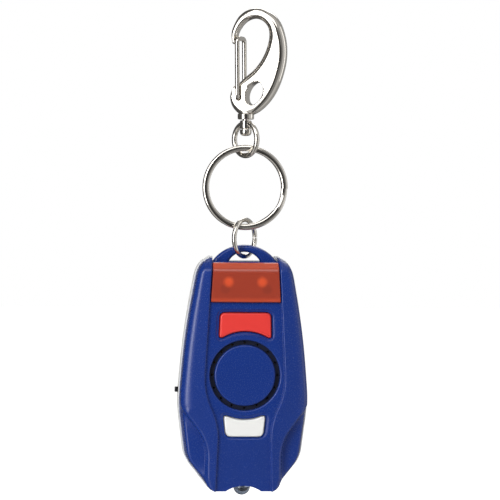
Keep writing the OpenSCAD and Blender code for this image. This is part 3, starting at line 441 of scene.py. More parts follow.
def grained(name, tones, grains, gloss, relief, look):
    """A finish from one or two grains, each (size in mm, detail).

    The first grain shifts the colour between two tones and the last one moves the gloss.
    The relief is (number of its grain, depth in mm, strength).
    """
    material, tree, place = new_finish(name)
    noise = []
    for size, detail in grains:
        pattern = {"Vector": place, "Scale": 1 / (size * MM), "Detail": detail}
        noise.append(put(tree, "ShaderNodeTexNoise", pattern).outputs["Fac"])
    blend = {"Factor": noise[0], "A": tones[0], "B": tones[1]}
    look = dict(look)
    look["Base Color"] = put(tree, "ShaderNodeMix", blend, data_type="RGBA").outputs["Result"]
    if gloss:
        span = dict(zip(RANGE, (noise[-1], NOISE_LOW, NOISE_HIGH, *gloss)))
        look["Roughness"] = put(tree, "ShaderNodeMapRange", span).outputs["Result"]
    grain, depth, strength = relief
    bump = {"Height": noise[grain], "Distance": depth * MM, "Strength": strength}
    look["Normal"] = put(tree, "ShaderNodeBump", bump).outputs["Normal"]
    shader = put(tree, "ShaderNodeBsdfPrincipled", look)
    put(tree, "ShaderNodeOutputMaterial", {"Surface": shader.outputs["BSDF"]})
    return material


def moulded_abs(name, colour, rough, grain_mm=0.3):
    """Injection-moulded plastic: even colour with a faint flow in it, satin gloss, broad soft highlights."""
    tones = (rgba(colour, 0.975), rgba(colour, 1.025))
    # The melt's flow is about 9 mm across. The eroded mould leaves a fine even grain.
    grains = ((9, 1.0), (grain_mm, 2.0))
    return grained(name, tones, grains, (rough - 0.008, rough + 0.008), (1, 0.003, 0.05), {"IOR": 1.5})


def nickel_plate(colour):
    """Bright nickel on cast zinc and wire: a warm mirror that wavers slightly, with faint rubbed spots."""
    tones = (rgba(colour, 0.93), rgba(colour, 1.05))
    # Polishing leaves slow waves, about 3 mm long, and rubbed spots of about 1 mm.
    grains = ((3.2, 1.0), (1.1, 2.0))
    return grained("Bright nickel plate", tones, grains, (0.09, 0.15), (0, 0.01, 0.2), {"Metallic": 1.0})


def clear_epoxy():
    """Cast clear epoxy: a glassy lamp body with faint flow marks."""
    tones = (rgba(linear(0x7A859C)), rgba(linear(0x98A3B8)))
    look = {"Roughness": 0.03, "IOR": 1.54, "Transmission Weight": 1.0}
    # Flow marks of the casting are about 1.5 mm across.
    return grained("Clear epoxy", tones, ((1.5, 1.0),), None, (0, 0.01, 0.2), look)


def plain_metal(name, colour, rough, grain_mm):
    """Rolled, drawn or plated metal of the works: soft streaked gloss."""
    tones = (rgba(colour, 0.88), rgba(colour, 1.06))
    gloss = (rough - 0.06, rough + 0.1)
    return grained(name, tones, ((grain_mm, 3.0),), gloss, (0, 0.004, 0.4), {"Metallic": 1.0})


def matt_body(name, colour, rough, grain_mm):
    """Matt bodies, such as chip epoxy, ferrite, ceramic and solder mask: fine flecks, little gloss."""
    tones = (rgba(colour, 0.85), rgba(colour, 1.12))
    return grained(name, tones, ((grain_mm, 3.0),), (rough - 0.08, rough + 0.08), (0, 0.006, 0.4), {})


def amber_window(colour, spots, bands):
    """Tinted polycarbonate, frosted behind, with painted light: painted glints over the unlit lamps, painted
    shade over their cups, a paler painted band on the fold, and a paler painted foot with a line of painted
    shade.
    """
    material, tree, place = new_finish("Amber polycarbonate")
    # Cloudy tint in the melt, about 6 mm across.
    pattern = {"Vector": place, "Scale": 1 / (6 * MM), "Detail": 1.0}
    cloud = put(tree, "ShaderNodeTexNoise", pattern).outputs["Fac"]
    blend = {"Factor": cloud, "A": rgba(colour, 0.97), "B": rgba(colour, 1.03)}
    tone = put(tree, "ShaderNodeMix", blend, data_type="RGBA").outputs["Result"]
    fades = []
    # Each spot paints light into the tint: a painted glint over an unlit lamp, or painted shade over its cup.
    for x, z, inner, outer, strength, spot_colour in spots:
        way = put(tree, "ShaderNodeVectorMath", {0: place, 1: (x, 0, z)}, operation="SUBTRACT").outputs[0]
        flat = put(tree, "ShaderNodeVectorMath", {0: way, 1: (1, 0, 1)}, operation="MULTIPLY").outputs[0]
        gone = put(tree, "ShaderNodeVectorMath", {0: flat}, operation="LENGTH").outputs["Value"]
        fades.append(((gone, inner, outer, strength, 0.0), spot_colour))
    height = put(tree, "ShaderNodeSeparateXYZ", {"Vector": place}).outputs["Z"]
    # Painted light by height: bands that brighten the fold and the foot, and a line of painted shade along
    # the lowest edge.
    for start, end, strength, band_colour in bands:
        fades.append(((height, start, end, 0.0, strength), band_colour))
    for fade, fade_colour in fades:
        fade = dict(zip(RANGE, fade))
        share = put(tree, "ShaderNodeMapRange", fade, interpolation_type="SMOOTHSTEP").outputs["Result"]
        blend = {"Factor": share, "A": tone, "B": rgba(fade_colour)}
        tone = put(tree, "ShaderNodeMix", blend, data_type="RGBA").outputs["Result"]
    # The frosting is barely uneven, at about 1 mm.
    fine = put(tree, "ShaderNodeTexNoise", {"Vector": place, "Scale": 1 / (1.2 * MM)}).outputs["Fac"]
    span = dict(zip(RANGE, (fine, NOISE_LOW, NOISE_HIGH, 0.285, 0.295)))
    gloss = put(tree, "ShaderNodeMapRange", span).outputs["Result"]
    look = {"Base Color": tone, "Roughness": gloss, "IOR": 1.58, "Coat Weight": 0.2, "Coat Roughness": 0.12}
    shader = put(tree, "ShaderNodeBsdfPrincipled", look)
    put(tree, "ShaderNodeOutputMaterial", {"Surface": shader.outputs["BSDF"]})
    return material


def window_painted_light(s, painted_glow):
    """Painted light in the window: painted glints over the unlit strobe lamps, painted shade over their cups,
    and paler and darker painted bands, by height.
    """
    lens_top = FOOT_Z + s.height - s.crest_step - 0.2 * MM
    lens_low = lens_top - s.lens_h
    fold_z = FOOT_Z + s.height - s.crown_h
    strobe_z = (lens_top + lens_low) / 2
    spots = []
    # For each lamp: a darker disc of painted shade where its cup sits, and a painted glint a little above it.
    for cup_x, lamp_x in ((-6.2, -5.2), (6.3, 4.8)):
        spots.append((cup_x * MM, strobe_z - 1.9 * MM, 0.9 * MM, 1.9 * MM, 0.35, linear(0x7E3022)))
        spots.append((lamp_x * MM, strobe_z + 0.2 * MM, 0.5 * MM, 2.1 * MM, 0.9, painted_glow))
    # Bands of painted light: a paler fold where the top light falls, a paler lit foot, and a dark line of
    # painted shade along the lowest edge.
    bands = (
        (fold_z - 0.4 * MM, fold_z + 0.9 * MM, 0.5, linear(0xE25E3A)),
        (lens_low + 1.8 * MM, lens_low + 0.5 * MM, 0.5, linear(0xD6502D)),
        (lens_low + 0.4 * MM, lens_low + 0.1 * MM, 0.75, linear(0x5C1512)),
    )
    return spots, bands


FINISHES = {}


def finishes():
    """All finishes by record slot, made once."""
    if not FINISHES:
        c = bpy.context.scene.alarm_colours
        FINISHES.update(
            nickel_plate=nickel_plate(c.nickel),
            blue_abs=moulded_abs("Blue ABS", c.blue, 0.27),
            white_abs=moulded_abs("White ABS", c.white, 0.34),
            red_abs=moulded_abs("Red ABS", c.red, 0.36),
            # The window's finish carries painted glints, painted shade and painted bands of light.
            amber_polycarbonate=amber_window(c.amber, *window_painted_light(bpy.context.scene.alarm_case, c.painted_glow)),
            clear_epoxy=clear_epoxy(),
            black_nylon=moulded_abs("Black nylon", c.black, 0.45),
            tinned_steel=plain_metal("Tinned steel", linear(0xBDBCB8), 0.3, 0.2),
            zinc_screw=plain_metal("Zinc-plated steel", linear(0xB4B5B8), 0.32, 0.15),
            chip_epoxy=matt_body("Chip epoxy", linear(0x1B1B1C), 0.6, 0.1),
            brass=plain_metal("Rolled brass", linear(0xC9A55B), 0.28, 0.3),
            ceramic=matt_body("Fired ceramic", linear(0xE3DCCB), 0.5, 0.2),
            glass_epoxy_board=matt_body("Solder mask on glass epoxy", linear(0x1E6B3A), 0.35, 0.6),
            aluminium_can=plain_metal("Drawn aluminium", linear(0xC4C6CA), 0.3, 0.25),
            ferrite=matt_body("Sintered ferrite", linear(0x262626), 0.7, 0.15),
            enamelled_copper=plain_metal("Enamelled copper", linear(0xB36A3A), 0.25, 0.12),
            cell_can=plain_metal("Nickel-plated cell can", linear(0xCBCAC5), 0.22, 0.5),
        )
    return FINISHES


# Snap hook. Each row is a cut across the plate in millimetres: outer point, then inner point.
HOOK_ROWS = [
    ((-4.3, -6), (-3.15, -6)),
    ((-4.65, -3.6), (-2.6, -3.4)),
    ((-4.05, -1.3), (-1.6, -1.6)),
    ((-2.3, 1.7), (-0.2, -0.12)),
    ((0.5, 3.7), (1.5, 0.75)),
    ((3.6, 4.38), (3.4, 0.95)),
    ((7.4, 3.1), (5.5, 0.1)),
    ((10.6, -0.1), (7.1, -1.9)),
    ((12.4, -4.9), (7.35, -4.8)),
    ((12.85, -9.6), (6.5, -8.2)),
    ((12.2, -14.2), (4.9, -11.4)),
    ((10.4, -19.4), (2.9, -13.9)),
    ((7.6, -23.8), (1.4, -15.2)),
    ((3.8, -27), (0.1, -16.2)),
    ((-0.4, -28), (-0.8, -17)),
    ((-3.6, -25.9), (-1.5, -17.7)),
    ((-4.8, -22.7), (-2.2, -18.4)),
    ((-3.8, -20), (-2.9, -19.1)),
]
# The plate thins to this share at the nose, over this many rows.
NOSE_SHARE, NOSE_ROWS = 0.76, 5
GATE_FOOT = Vector((-1.6, -22.6)) * MM
GATE_HEAD = Vector((-1.9, -4.9)) * MM
OVAL_AT = Vector((3.3, -21.3)) * MM


def hook_cut(i, t):
    """Outer and inner point between two rows, on a smooth curve through all rows."""
    rows = [HOOK_ROWS[max(0, min(len(HOOK_ROWS) - 1, i + k))] for k in (-1, 0, 1, 2)]
    cut = []
    for side in (0, 1):
        a, b, c, d = (Vector(row[side]) for row in rows)
        p = b * 2 + (c - a) * t + (a * 2 - b * 5 + c * 4 - d) * t * t + (b * 3 - a - c * 3 + d) * t ** 3
        cut.append(p * 0.5 * MM)
    return cut


def plate_ring(outer, inner, thick, edge, n=10):
    """A cut through a flat plate with rounded edges, as a ring of points."""
    mid, half, along = (outer + inner) / 2, (outer - inner).length / 2, (outer - inner).normalized()
    e = min(edge, 0.85 * half)
    ring = []
    for s in (1, -1):
        for k in range(-n, n + 1):
            a = QUARTER * k / n
            p = mid + along * s * (half - e + e * math.cos(a))
            ring.append(Vector((p.x, -s * thick / 2 * math.sin(a), p.y)))
    return ring


def end_dome(near, far, thick, edge):
    """Rings that close an end of the plate, from its last cut outwards."""
    mid, half = (near[0] + near[1]) / 2, (near[0] - near[1]) / 2
    out = (mid - (far[0] + far[1]) / 2).normalized()
    rings = []
    for degrees in (25, 50, 72, 86):
        c, d = math.cos(math.radians(degrees)), math.sin(math.radians(degrees))
        centre = mid + out * half.length * 0.9 * d
        rings.append(plate_ring(centre + half * c, centre - half * c, thick * mix(0.35, 1, c), edge))
    return rings


def hook_rings(s, per_row=7):
    """Rings of the hook from its nose to its lower lobe, with domed ends."""
    cuts, thick = [], []
    last = len(HOOK_ROWS) - 1
    for step in range(last * per_row + 1):
        row = min(step // per_row, last - 1)
        cuts.append(hook_cut(row, step / per_row - row))
        thick.append(s.plate * mix(NOSE_SHARE, 1, ease(clamp(step / per_row / NOSE_ROWS))))
    rings = [plate_ring(o, i, t, s.edge) for (o, i), t in zip(cuts, thick)]
    nose = end_dome(cuts[0], cuts[1], thick[0], s.edge)
    tail = end_dome(cuts[-1], cuts[-2], thick[-1], s.edge)
    return nose[::-1] + rings + tail


def collar(s):
    """The collar under the plate, chamfered, with a neck that runs up into the plate."""
    r, h, c = s.collar_d / 2, s.collar_h, 0.25 * MM
    neck_r, neck_h = r - 0.5 * MM, h + 1.2 * MM
    return lathe([(0, 0), (r - c, 0), (r, c), (r, h - c), (r - c, h), (neck_r, neck_h), (0, neck_h)], 96)


def oval(s):
    """The oval hole through the plate, flared at both faces."""
    half, flare = s.plate / 2, 0.35 * MM
    # Each step is a share of the flare, and a depth below the face.
    steps = [(2.2, -flare), (0.3, flare * 0.35), (0, flare)]
    rings = []
    for share, y in [(f, -half + d) for f, d in steps] + [(f, half - d) for f, d in steps[::-1]]:
        w, l = s.oval_w / 2 + flare * share, s.oval_l / 2 + flare * share
        rings.append([Vector((w * math.cos(a), y, l * math.sin(a))) for a in spread(0, FULL_TURN, 72)])
    return skin(rings)


class ALARM_OT_hook(bpy.types.Operator):
    """Cast hook plate with its oval hole, gate bore and swivel collar"""

    bl_idname = "alarm.hook"
    bl_label = "Snap hook"

    def execute(self, context):
        s = context.scene.alarm_hook
        place = Matrix.Rotation(s.facing, 4, "Z")
        foot = Matrix.Translation((0, 0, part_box("hook_body")[0].z))
        hook = piece("hook_plate", skin(hook_rings(s)), place=place)
        carve(hook, piece("collar", collar(s), place=foot), "UNION")
        lean = Matrix.Translation((OVAL_AT.x, 0, OVAL_AT.y)) @ Matrix.Rotation(s.oval_lean, 4, "Y")
        carve(hook, piece("oval", oval(s), place=place @ lean))
        half, bore, sink = s.plate / 2, s.wire / 2 + 0.05 * MM, 0.45 * MM
        mouth = [(bore + sink, half + sink), (bore, half - sink)]
        profile = [(r, -y) for r, y in mouth] + mouth[::-1]
        across = Matrix.Translation((GATE_FOOT.x, 0, GATE_FOOT.y)) @ Matrix.Rotation(QUARTER, 4, "X")
        carve(hook, piece("gate_bore", lathe(profile, 48), place=place @ across))
        shank = s.rivet_d / 2 + 0.02 * MM
        profile = [(shank, -1 * MM), (shank, s.collar_h + 1 * MM)]
        carve(hook, piece("rivet_bore", lathe(profile, 48), place=foot))
        settle(hook, "hook", "nickel_plate", "hook_body", angle=38)
        return {"FINISHED"}


def new_tree(name, inputs, output):
    """A geometry tree with named inputs and one output, and the inputs' sockets."""
    tree = bpy.data.node_groups.new(name, "GeometryNodeTree")
    for label, kind in inputs:
        tree.interface.new_socket(label, in_out="INPUT", socket_type="NodeSocket" + kind)
    tree.interface.new_socket(output, in_out="OUTPUT", socket_type="NodeSocketGeometry")
    return tree, put(tree, "NodeGroupInput").outputs


def end_tree(tree, geometry, finish):
    """Ends a tree in plain mesh that carries its finish."""
    real = put(tree, "GeometryNodeRealizeInstances", {"Geometry": geometry})
    dressed = put(tree, "GeometryNodeSetMaterial", {"Geometry": real.outputs["Geometry"], "Material": finish})
    put(tree, "NodeGroupOutput", {0: dressed.outputs["Geometry"]})
    return tree


def grow(name, points, edges, tree, values):
    """A piece of plain mesh that a tree makes from points and edges. Values go to its inputs by name."""
    mesh = bpy.data.meshes.new(name)
    mesh.from_pydata([tuple(p) for p in points], edges, [])
    obj = add_object(name, mesh)
    step = obj.modifiers.new(tree.name, "NODES")
    step.node_group = tree
    for item in tree.interface.items_tree:
        if item.name in values:
            step[item.identifier] = values[item.name]
    bake(obj)
    return obj


def wire_tree():
    """Geometry nodes: a wire with a rounded section along a path of edges."""
    name = "Wire along a path"
    if name in bpy.data.node_groups:
        return bpy.data.node_groups[name]
    inputs = (
        ("Path", "Geometry"), ("Side", "Vector"), ("Width", "Float"), ("Height", "Float"),
        ("Fullness", "Vector"), ("Steps", "Int"), ("Finish", "Material"),
    )
    tree, given = new_tree(name, inputs, "Wire")
    path = put(tree, "GeometryNodeMeshToCurve", {"Mesh": given["Path"]}).outputs["Curve"]
    sided = put(tree, "GeometryNodeSetCurveNormal", {"Curve": path, "Normal": given["Side"]}, mode="FREE")
    shape = {"Resolution": given["Steps"], "Radius": 1.0}
    circle = put(tree, "GeometryNodeCurvePrimitiveCircle", shape, mode="RADIUS")
    spot = put(tree, "GeometryNodeInputPosition").outputs["Position"]
    size = put(tree, "ShaderNodeVectorMath", {0: spot}, operation="ABSOLUTE").outputs[0]
    fuller = put(tree, "ShaderNodeVectorMath", {0: size, 1: given["Fullness"]}, operation="POWER").outputs[0]
    way = put(tree, "ShaderNodeVectorMath", {0: spot}, operation="SIGN").outputs[0]
    signed = put(tree, "ShaderNodeVectorMath", {0: fuller, 1: way}, operation="MULTIPLY").outputs[0]
    span = put(tree, "ShaderNodeCombineXYZ", {"X": given["Width"], "Y": given["Height"]}).outputs[0]
    half = put(tree, "ShaderNodeVectorMath", {0: span, "Scale": 0.5}, operation="SCALE").outputs[0]
    sized = put(tree, "ShaderNodeVectorMath", {0: signed, 1: half}, operation="MULTIPLY").outputs[0]
    soft = put(tree, "GeometryNodeSetPosition", {"Geometry": circle.outputs["Curve"], "Position": sized})
    along = {"Curve": sided.outputs["Curve"], "Profile Curve": soft.outputs["Geometry"], "Fill Caps": True}
    swept = put(tree, "GeometryNodeCurveToMesh", along)
    return end_tree(tree, swept.outputs["Mesh"], given["Finish"])


def wire(name, path, side, width, height, fullness=1.0, closed=False):
    """A wire piece along a path of points."""
    edges = [(i, i + 1) for i in range(len(path) - 1)] + ([(len(path) - 1, 0)] if closed else [])
    values = {
        "Side": side, "Width": width, "Height": height, "Fullness": (fullness,) * 3, "Steps": 28,
        "Finish": finishes()["nickel_plate"],
    }
    obj = grow(name, path, edges, wire_tree(), values)
    bm = bmesh.new()
    bm.from_mesh(obj.data)
    bmesh.ops.remove_doubles(bm, verts=bm.verts, dist=10 * WELD)
    bmesh.ops.recalc_face_normals(bm, faces=bm.faces)
    bm.to_mesh(obj.data)
    bm.free()
    return obj


def ring_path(radius, start=0.0, end=FULL_TURN, n=96):
    """Points of an arc in the XZ plane."""
    return [Vector((radius * math.cos(a), 0, radius * math.sin(a))) for a in sweep(start, end, n)]


class ALARM_OT_gate(bpy.types.Operator):
    """Sprung wire gate, bent from one round wire with its ends in the plate"""

    bl_idname = "alarm.gate"
    bl_label = "Wire gate"

    def execute(self, context):
        s = context.scene.alarm_hook
        way = GATE_HEAD - GATE_FOOT
        half = s.plate / 2 + s.room + s.wire / 2
        inside = s.plate / 2 - s.pin
        leg = [(inside, 0), (half, 0), (half, way.length)]
        corners = [Vector((0, y, z)) for y, z in leg + [(-y, z) for y, z in leg[::-1]]]
        path = [corners[0]]
        for a, p, b in zip(corners, corners[1:], corners[2:]):
            u, v = (a - p).normalized(), (b - p).normalized()
            for t in sweep(0, QUARTER, 10):
                path.append(p + (u + v) * s.bend - (v * math.cos(t) + u * math.sin(t)) * s.bend)
        path.append(corners[-1])
        place = (
            Matrix.Rotation(s.facing, 4, "Z")
            @ Matrix.Translation((GATE_FOOT.x, 0, GATE_FOOT.y))
            @ Matrix.Rotation(math.atan2(way.x, way.y), 4, "Y")
        )
        side = place.to_3x3() @ Vector((1, 0, 0))
        gate = wire("gate_loop", [place @ p for p in path], side, s.wire, s.wire)
        settle(gate, "gate", "nickel_plate", "gate_wire", angle=50)
        return {"FINISHED"}


class ALARM_OT_swivel(bpy.types.Operator):
    """Rivet with a domed head, and the round eye that turns on it"""

    bl_idname = "alarm.swivel"
    bl_label = "Swivel"

    def execute(self, context):
        s = context.scene.alarm_hook
        low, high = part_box("swivel_rivet")
        head, shank = (high.x - low.x) / 2, s.rivet_d / 2
        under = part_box("swivel_eye")[1].z - s.boss_h - 0.15 * MM
        rise = under - low.z
        # The domed foot of the head, as shares of its radius and height.
        dome = ((0, 0), (0.35, 0.02), (0.6, 0.07), (0.8, 0.17), (0.92, 0.29), (0.98, 0.41), (1, 0.52))
        profile = [(head * across, low.z + rise * up) for across, up in dome]
        # Its rounded upper rim, as distances from the corner.
        rim = ((0, 0.2), (0.06, 0.06), (0.2, 0))
        profile += [(head - inwards * MM, under - down * MM) for inwards, down in rim]
        profile += [(shank, under), (shank, high.z), (0, high.z)]
        rivet = piece("rivet", lathe(profile, 64))
        settle(rivet, "hook", "nickel_plate", "swivel_rivet", angle=38)

        low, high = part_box("swivel_eye")
        centre = low.z + (s.eye_d + s.eye_wire) / 2
        place = Matrix.Translation((0, 0, centre)) @ Matrix.Rotation(s.eye_facing, 4, "Z")
        side = place.to_3x3() @ Vector((0, 1, 0))
        path = [place @ p for p in ring_path(s.eye_d / 2)[:-1]]
        eye = wire("eye", path, side, s.eye_wire, s.eye_wire, closed=True)
        r, c = s.boss_d / 2, 0.2 * MM
        base = high.z - s.boss_h
        boss = [(0, base), (r - c, base), (r, base + c), (r, high.z - c), (r - c, high.z), (0, high.z)]
        carve(eye, piece("boss", lathe(boss, 64)), "UNION")
        bore = shank + 0.05 * MM
        carve(eye, piece("boss_bore", lathe([(bore, base - 1 * MM), (bore, high.z + 1 * MM)], 48)))
        settle(eye, "swivel", "nickel_plate", "swivel_eye", angle=38)
        return {"FINISHED"}


class ALARM_OT_rings(bpy.types.Operator):
    """Split key ring wound in two turns, and the round jump ring under it"""

    bl_idname = "alarm.rings"
    bl_label = "Key rings"

    def execute(self, context):
        s = context.scene.alarm_rings
        low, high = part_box("split_ring")
        centre = (low.z + high.z) / 2
        radius = (s.split_d - s.split_w) / 2
        lift = (s.split_t + s.split_gap) / 2
        margin = s.crossing + math.radians(5)
        path = []
        for a in sweep(margin, 2 * FULL_TURN - margin, 360):
            side = lift * (2 * ease(clamp((a - FULL_TURN + s.crossing) / (2 * s.crossing))) - 1)
            t = a + s.seam
            path.append(Vector((radius * math.cos(t), side, centre + radius * math.sin(t))))
        ring = wire("key_ring", path, (0, 1, 0), s.split_t, s.split_w, 0.95)
        settle(ring, "key_ring", "nickel_plate", "split_ring", angle=50)

        low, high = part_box("jump_ring")
        place = Matrix.Translation((0, 0, (low.z + high.z) / 2)) @ Matrix.Rotation(s.jump_facing, 4, "Z")
        open_by = s.jump_cut / s.jump_d
        path = [place @ p for p in ring_path(s.jump_d / 2, open_by, FULL_TURN - open_by)]
        side = place.to_3x3() @ Vector((0, 1, 0))
        link = wire("link", path, side, s.jump_wire, s.jump_wire)
        settle(link, "link", "nickel_plate", "jump_ring", angle=50)
        return {"FINISHED"}


# The case. Heights start at the foot, and depths run forward from the parting plane.
def at(x, depth, z):
    return Vector((x, PARTING_Y - depth, FOOT_Z + z))


def case_plan(s):
    """Tables and heights of the case, worked out from its sizes."""
    p = SimpleNamespace()
    p.top = s.height - s.crest_step
    p.crown_z = s.height - s.crown_h
    p.lens_top = p.top - 0.2 * MM
    p.lens_low = p.lens_top - s.lens_h
    # Each line runs up from the foot, in corners of (half width or depth, height, softness).
    below = [
        (s.foot_w / 2 - 0.8 * MM, 0, 0),
        (s.foot_w / 2 + 0.35 * MM, 0.45 * MM, 0.6 * MM),
        (s.hip_w / 2, s.hip_z, 2.6 * MM),
        (s.waist_w / 2, s.waist_z, 5 * MM),
        (s.chest_w / 2, s.chest_z, 10 * MM),
    ]
    shoulder_z = s.height - s.shoulder_drop
    reach = (s.height - s.chest_z) / (shoulder_z - s.chest_z)
    p.wall = by_height(soft_line(below + [(mix(s.chest_w, s.shoulder_w, reach) / 2, s.height, 0)], 14))
    crest = [(s.shoulder_w / 2, shoulder_z, 4.2 * MM), (s.crest_w / 2, s.height, 0)]
    p.outline = soft_line(below + crest, 14)
    p.edge = by_height(p.outline)
    channel = [
        (s.channel_foot_w / 2, 0, 0),
        (s.channel_neck_w / 2, s.channel_neck_z, 5 * MM),
        (s.channel_wide_w / 2, s.channel_wide_z, 5 * MM),
        (s.channel_top_w / 2, s.height, 0),
    ]
    p.channel = by_height(soft_line(channel, 16))
    scallop = [
        (s.scallop_w / 2, 0, 0),
        (s.scallop_w / 2, s.scallop_z, 5 * MM),
        (s.waist_w / 2 - s.draft / 2, s.waist_z, 0),
    ]
    p.scallop = by_height(soft_line(scallop, 16))
    depth = [
        (s.toe, 0, 0),
        (s.front, s.toe_z, 1.6 * MM),
        (s.front, p.crown_z, 1.1 * MM),
        (s.crown, s.height, 0),
    ]
    p.depth = by_height(soft_line(depth, 10))
    p.cavity_top = p.top - 2.45 * MM
    p.cavity_bend = min(p.crown_z, p.cavity_top - 0.7 * MM)
    p.foot_wall = s.notch_h + s.wall
    return p


def front_corners(s, p, z):
    """Corners of the front shell's section at a height, from the middle to the parting line.

    Each is (distance from the middle, depth, softness).
    """
    side, channel, floor = lookup(z, p.wall), lookup(z, p.channel), lookup(z, p.depth)
    rail = floor + s.rail
    lean = s.draft * clamp(0.3 + z / (9 * MM))
    scallop = lookup(z, p.scallop)
    edge = min(scallop, side - lean)
    edge_d = rail - (edge - channel) * math.tan(s.rail_slope)
    # How far the grip scallop is cut: 0 on a plain side wall, and 1 where it has its full depth.
    cut = ease(clamp((side - lean - scallop) / (1.6 * MM)))
    shelf = min(s.scallop, edge_d - 0.4 * MM)
    plain = (Vector((mix(edge, side, 0.55), edge_d * 0.45)), Vector((mix(edge, side, 0.8), edge_d * 0.2)))
    sunk = (Vector((edge + 0.7 * MM, shelf)), Vector((side - 0.8 * MM, shelf - 0.6 * MM)))
    inner, outer = (a.lerp(b, cut) for a, b in zip(plain, sunk))
    corners = [
        (0, floor, 0),
        (channel, floor, 0.1 * MM),
        (channel + 0.3 * MM, rail, 0.45 * MM),
        (edge, edge_d, mix(3.8, 0.7, cut) * MM),
        (inner.x, inner.y, mix(1, 0.15, cut) * MM),
        (outer.x, outer.y, mix(1.2, 0.8, cut) * MM),
        (side, 0, 0),
    ]
    # At the shoulders the outline turns in, and the rails narrow with it.
    outline = lookup(z, p.edge)
    if outline < side:
        squeeze = (outline - channel) / (side - channel)
        corners = [(min(x, channel) + max(x - channel, 0) * squeeze, d, soft) for x, d, soft in corners]
    return corners


def cavity_corners(s, p, z):
    """The hollow behind that section."""
    middle, channel, _, edge, inner, outer, side = front_corners(s, p, z)
    floor = middle[1] - s.wall
    return [
        (0, floor, 0),
        (min(channel[0], edge[0] - s.wall - 1 * MM), floor, 0),
        (edge[0] - s.wall, min(middle[1], edge[1]) - s.wall, 0.8 * MM),
        (inner[0] - s.wall, inner[1] - s.wall * 0.6, 0.6 * MM),
        (outer[0] - s.wall, outer[1] * 0.5, 0.5 * MM),
        (side[0] - s.wall, -0.5 * MM, 0),
    ]


def section_ring(corners, z, n):
    """A section's corners as a ring at its height."""
    return [at(q.x, q.y, z) for q in mirrored(soft_line(corners, n))]


def block(x0, x1, d0, d1, z0, z1):
    """A plain block between two widths, depths and heights."""
    return skin([[at(x, d, z) for x, d in rectangle(x0, x1, d0, d1)] for z in (z0, z1)])


def bar(line, d0, d1):
    """A bar from depth to depth, with a line of (x, height) as its front view."""
    return skin([[at(x, d, z) for x, z in line] for d in (d0, d1)])


def tier(loop, growth, depth):
    """A front-view loop, grown and set at a depth."""
    return [at(q.x, depth, q.y) for q in grown(loop, growth)]


def turned(profile, x, z, segments):
    """A profile of (radius, depth) turned about a front-to-back axis."""
    turns = spread(0, FULL_TURN, segments)
    return skin([[at(x + r * math.cos(a), d, z + r * math.sin(a)) for a in turns] for r, d in profile])


def button_outline(half_low, half_top, low, top, hollow, corner):
    """A button's front-view outline. Its lower edge is hollowed by an arc about the origin."""
    reach = math.sqrt(max(hollow ** 2 - low ** 2, 0))
    span = math.atan2(reach, low)
    arc = [(hollow * math.sin(a), hollow * math.cos(a), 0.0) for a in sweep(-span, span, 24)]
    for end in (0, -1):
        arc[end] = arc[end][:2] + (0.5 * MM,)
    corners = [(-half_low, low, corner)] + arc
    corners += [(half_low, low, corner), (half_top, top, 1.5 * MM), (-half_top, top, 1.5 * MM)]
    points = [Vector(c[:2]) for c in corners]
    loop = []
    for i, p in enumerate(points):
        soft = corners[i][2]
        loop += soft_corner(points[i - 1], p, points[(i + 1) % len(points)], soft, 6) if soft else [p]
    return loop


def alarm_outline(s):
    """The alarm button's outline, above the siren."""
    half = s.alarm_w / 2
    loop = button_outline(half, half - 0.2 * MM, s.alarm_low, s.alarm_top, s.hollow, 0.9 * MM)
    return [q + Vector((0, s.siren_z)) for q in loop]


def torch_outline(s):
    """The torch button's outline, turned over below the siren."""
    loop = button_outline(s.torch_w / 2, s.torch_foot_w / 2, s.torch_top, s.torch_low, s.hollow, 0.8 * MM)
    return [Vector((-q.x, s.siren_z - q.y)) for q in loop]


def well(s, loop):
    """Cutting tool for a button: the hole, a sunk margin and its rounded rim."""
    floor = s.front - s.rebate_d
    steps = [
        (s.gap, s.front - 4 * MM),
        (s.gap, floor - 0.15 * MM),
        (s.gap + 0.15 * MM, floor),
        (s.rebate - 0.3 * MM, floor),
        (s.rebate - 0.2 * MM, floor + 0.02 * MM),
        (s.rebate, floor + 0.12 * MM),
        (s.rebate + 0.1 * MM, s.front - 0.08 * MM),
        (s.rebate + 0.35 * MM, s.front + 0.02 * MM),
        (s.rebate + 0.9 * MM, s.front + 1.5 * MM),
    ]
    return skin([tier(loop, growth, depth) for growth, depth in steps])


def siren_hole(s):
    """Cutting tool for the siren: the round hole and its rounded rim."""
    steps = ((0, -4), (0, -0.45), (0.06, -0.25), (0.2, -0.1), (0.5, 0.02), (1.2, 1.5))
    profile = [(s.siren_d / 2 + wide * MM, s.front + out * MM) for wide, out in steps]
    return turned(profile, 0, s.siren_z, 120)


def arch(width, height, n, reach=1.0):
    """An arc of a width and a height as (x, height) points. A reach over 1 runs it on past its ends."""
    r = (width ** 2 / 4 + height ** 2) / (2 * height)
    span = math.asin(width / 2 / r) * reach
    return [Vector((r * math.sin(a), height - r + r * math.cos(a))) for a in sweep(-span, span, n)]


def notch_tool(s):
    """The arched notch at the foot, as a bar across the case."""
    side, under = s.notch_w * 0.56, -3 * MM
    line = arch(s.notch_w, s.notch_h, 32, 1.06)
    return bar([(-side, under)] + line + [(side, under)], -THROUGH, THROUGH)


def top_dip(p, half):
    """Cutting tool for the sunk middle of the top."""
    return block(-half, half, -THROUGH, THROUGH, p.top, p.top + 9 * MM)


def torch_bore(s, p):
    """Cutting tool for the torch lamp, up from the foot."""
    r = s.torch_d / 2 + 0.05 * MM
    return lathe([(r, -1 * MM), (r, p.foot_wall + 0.5 * MM)], 64, *at(0, 0, 0))


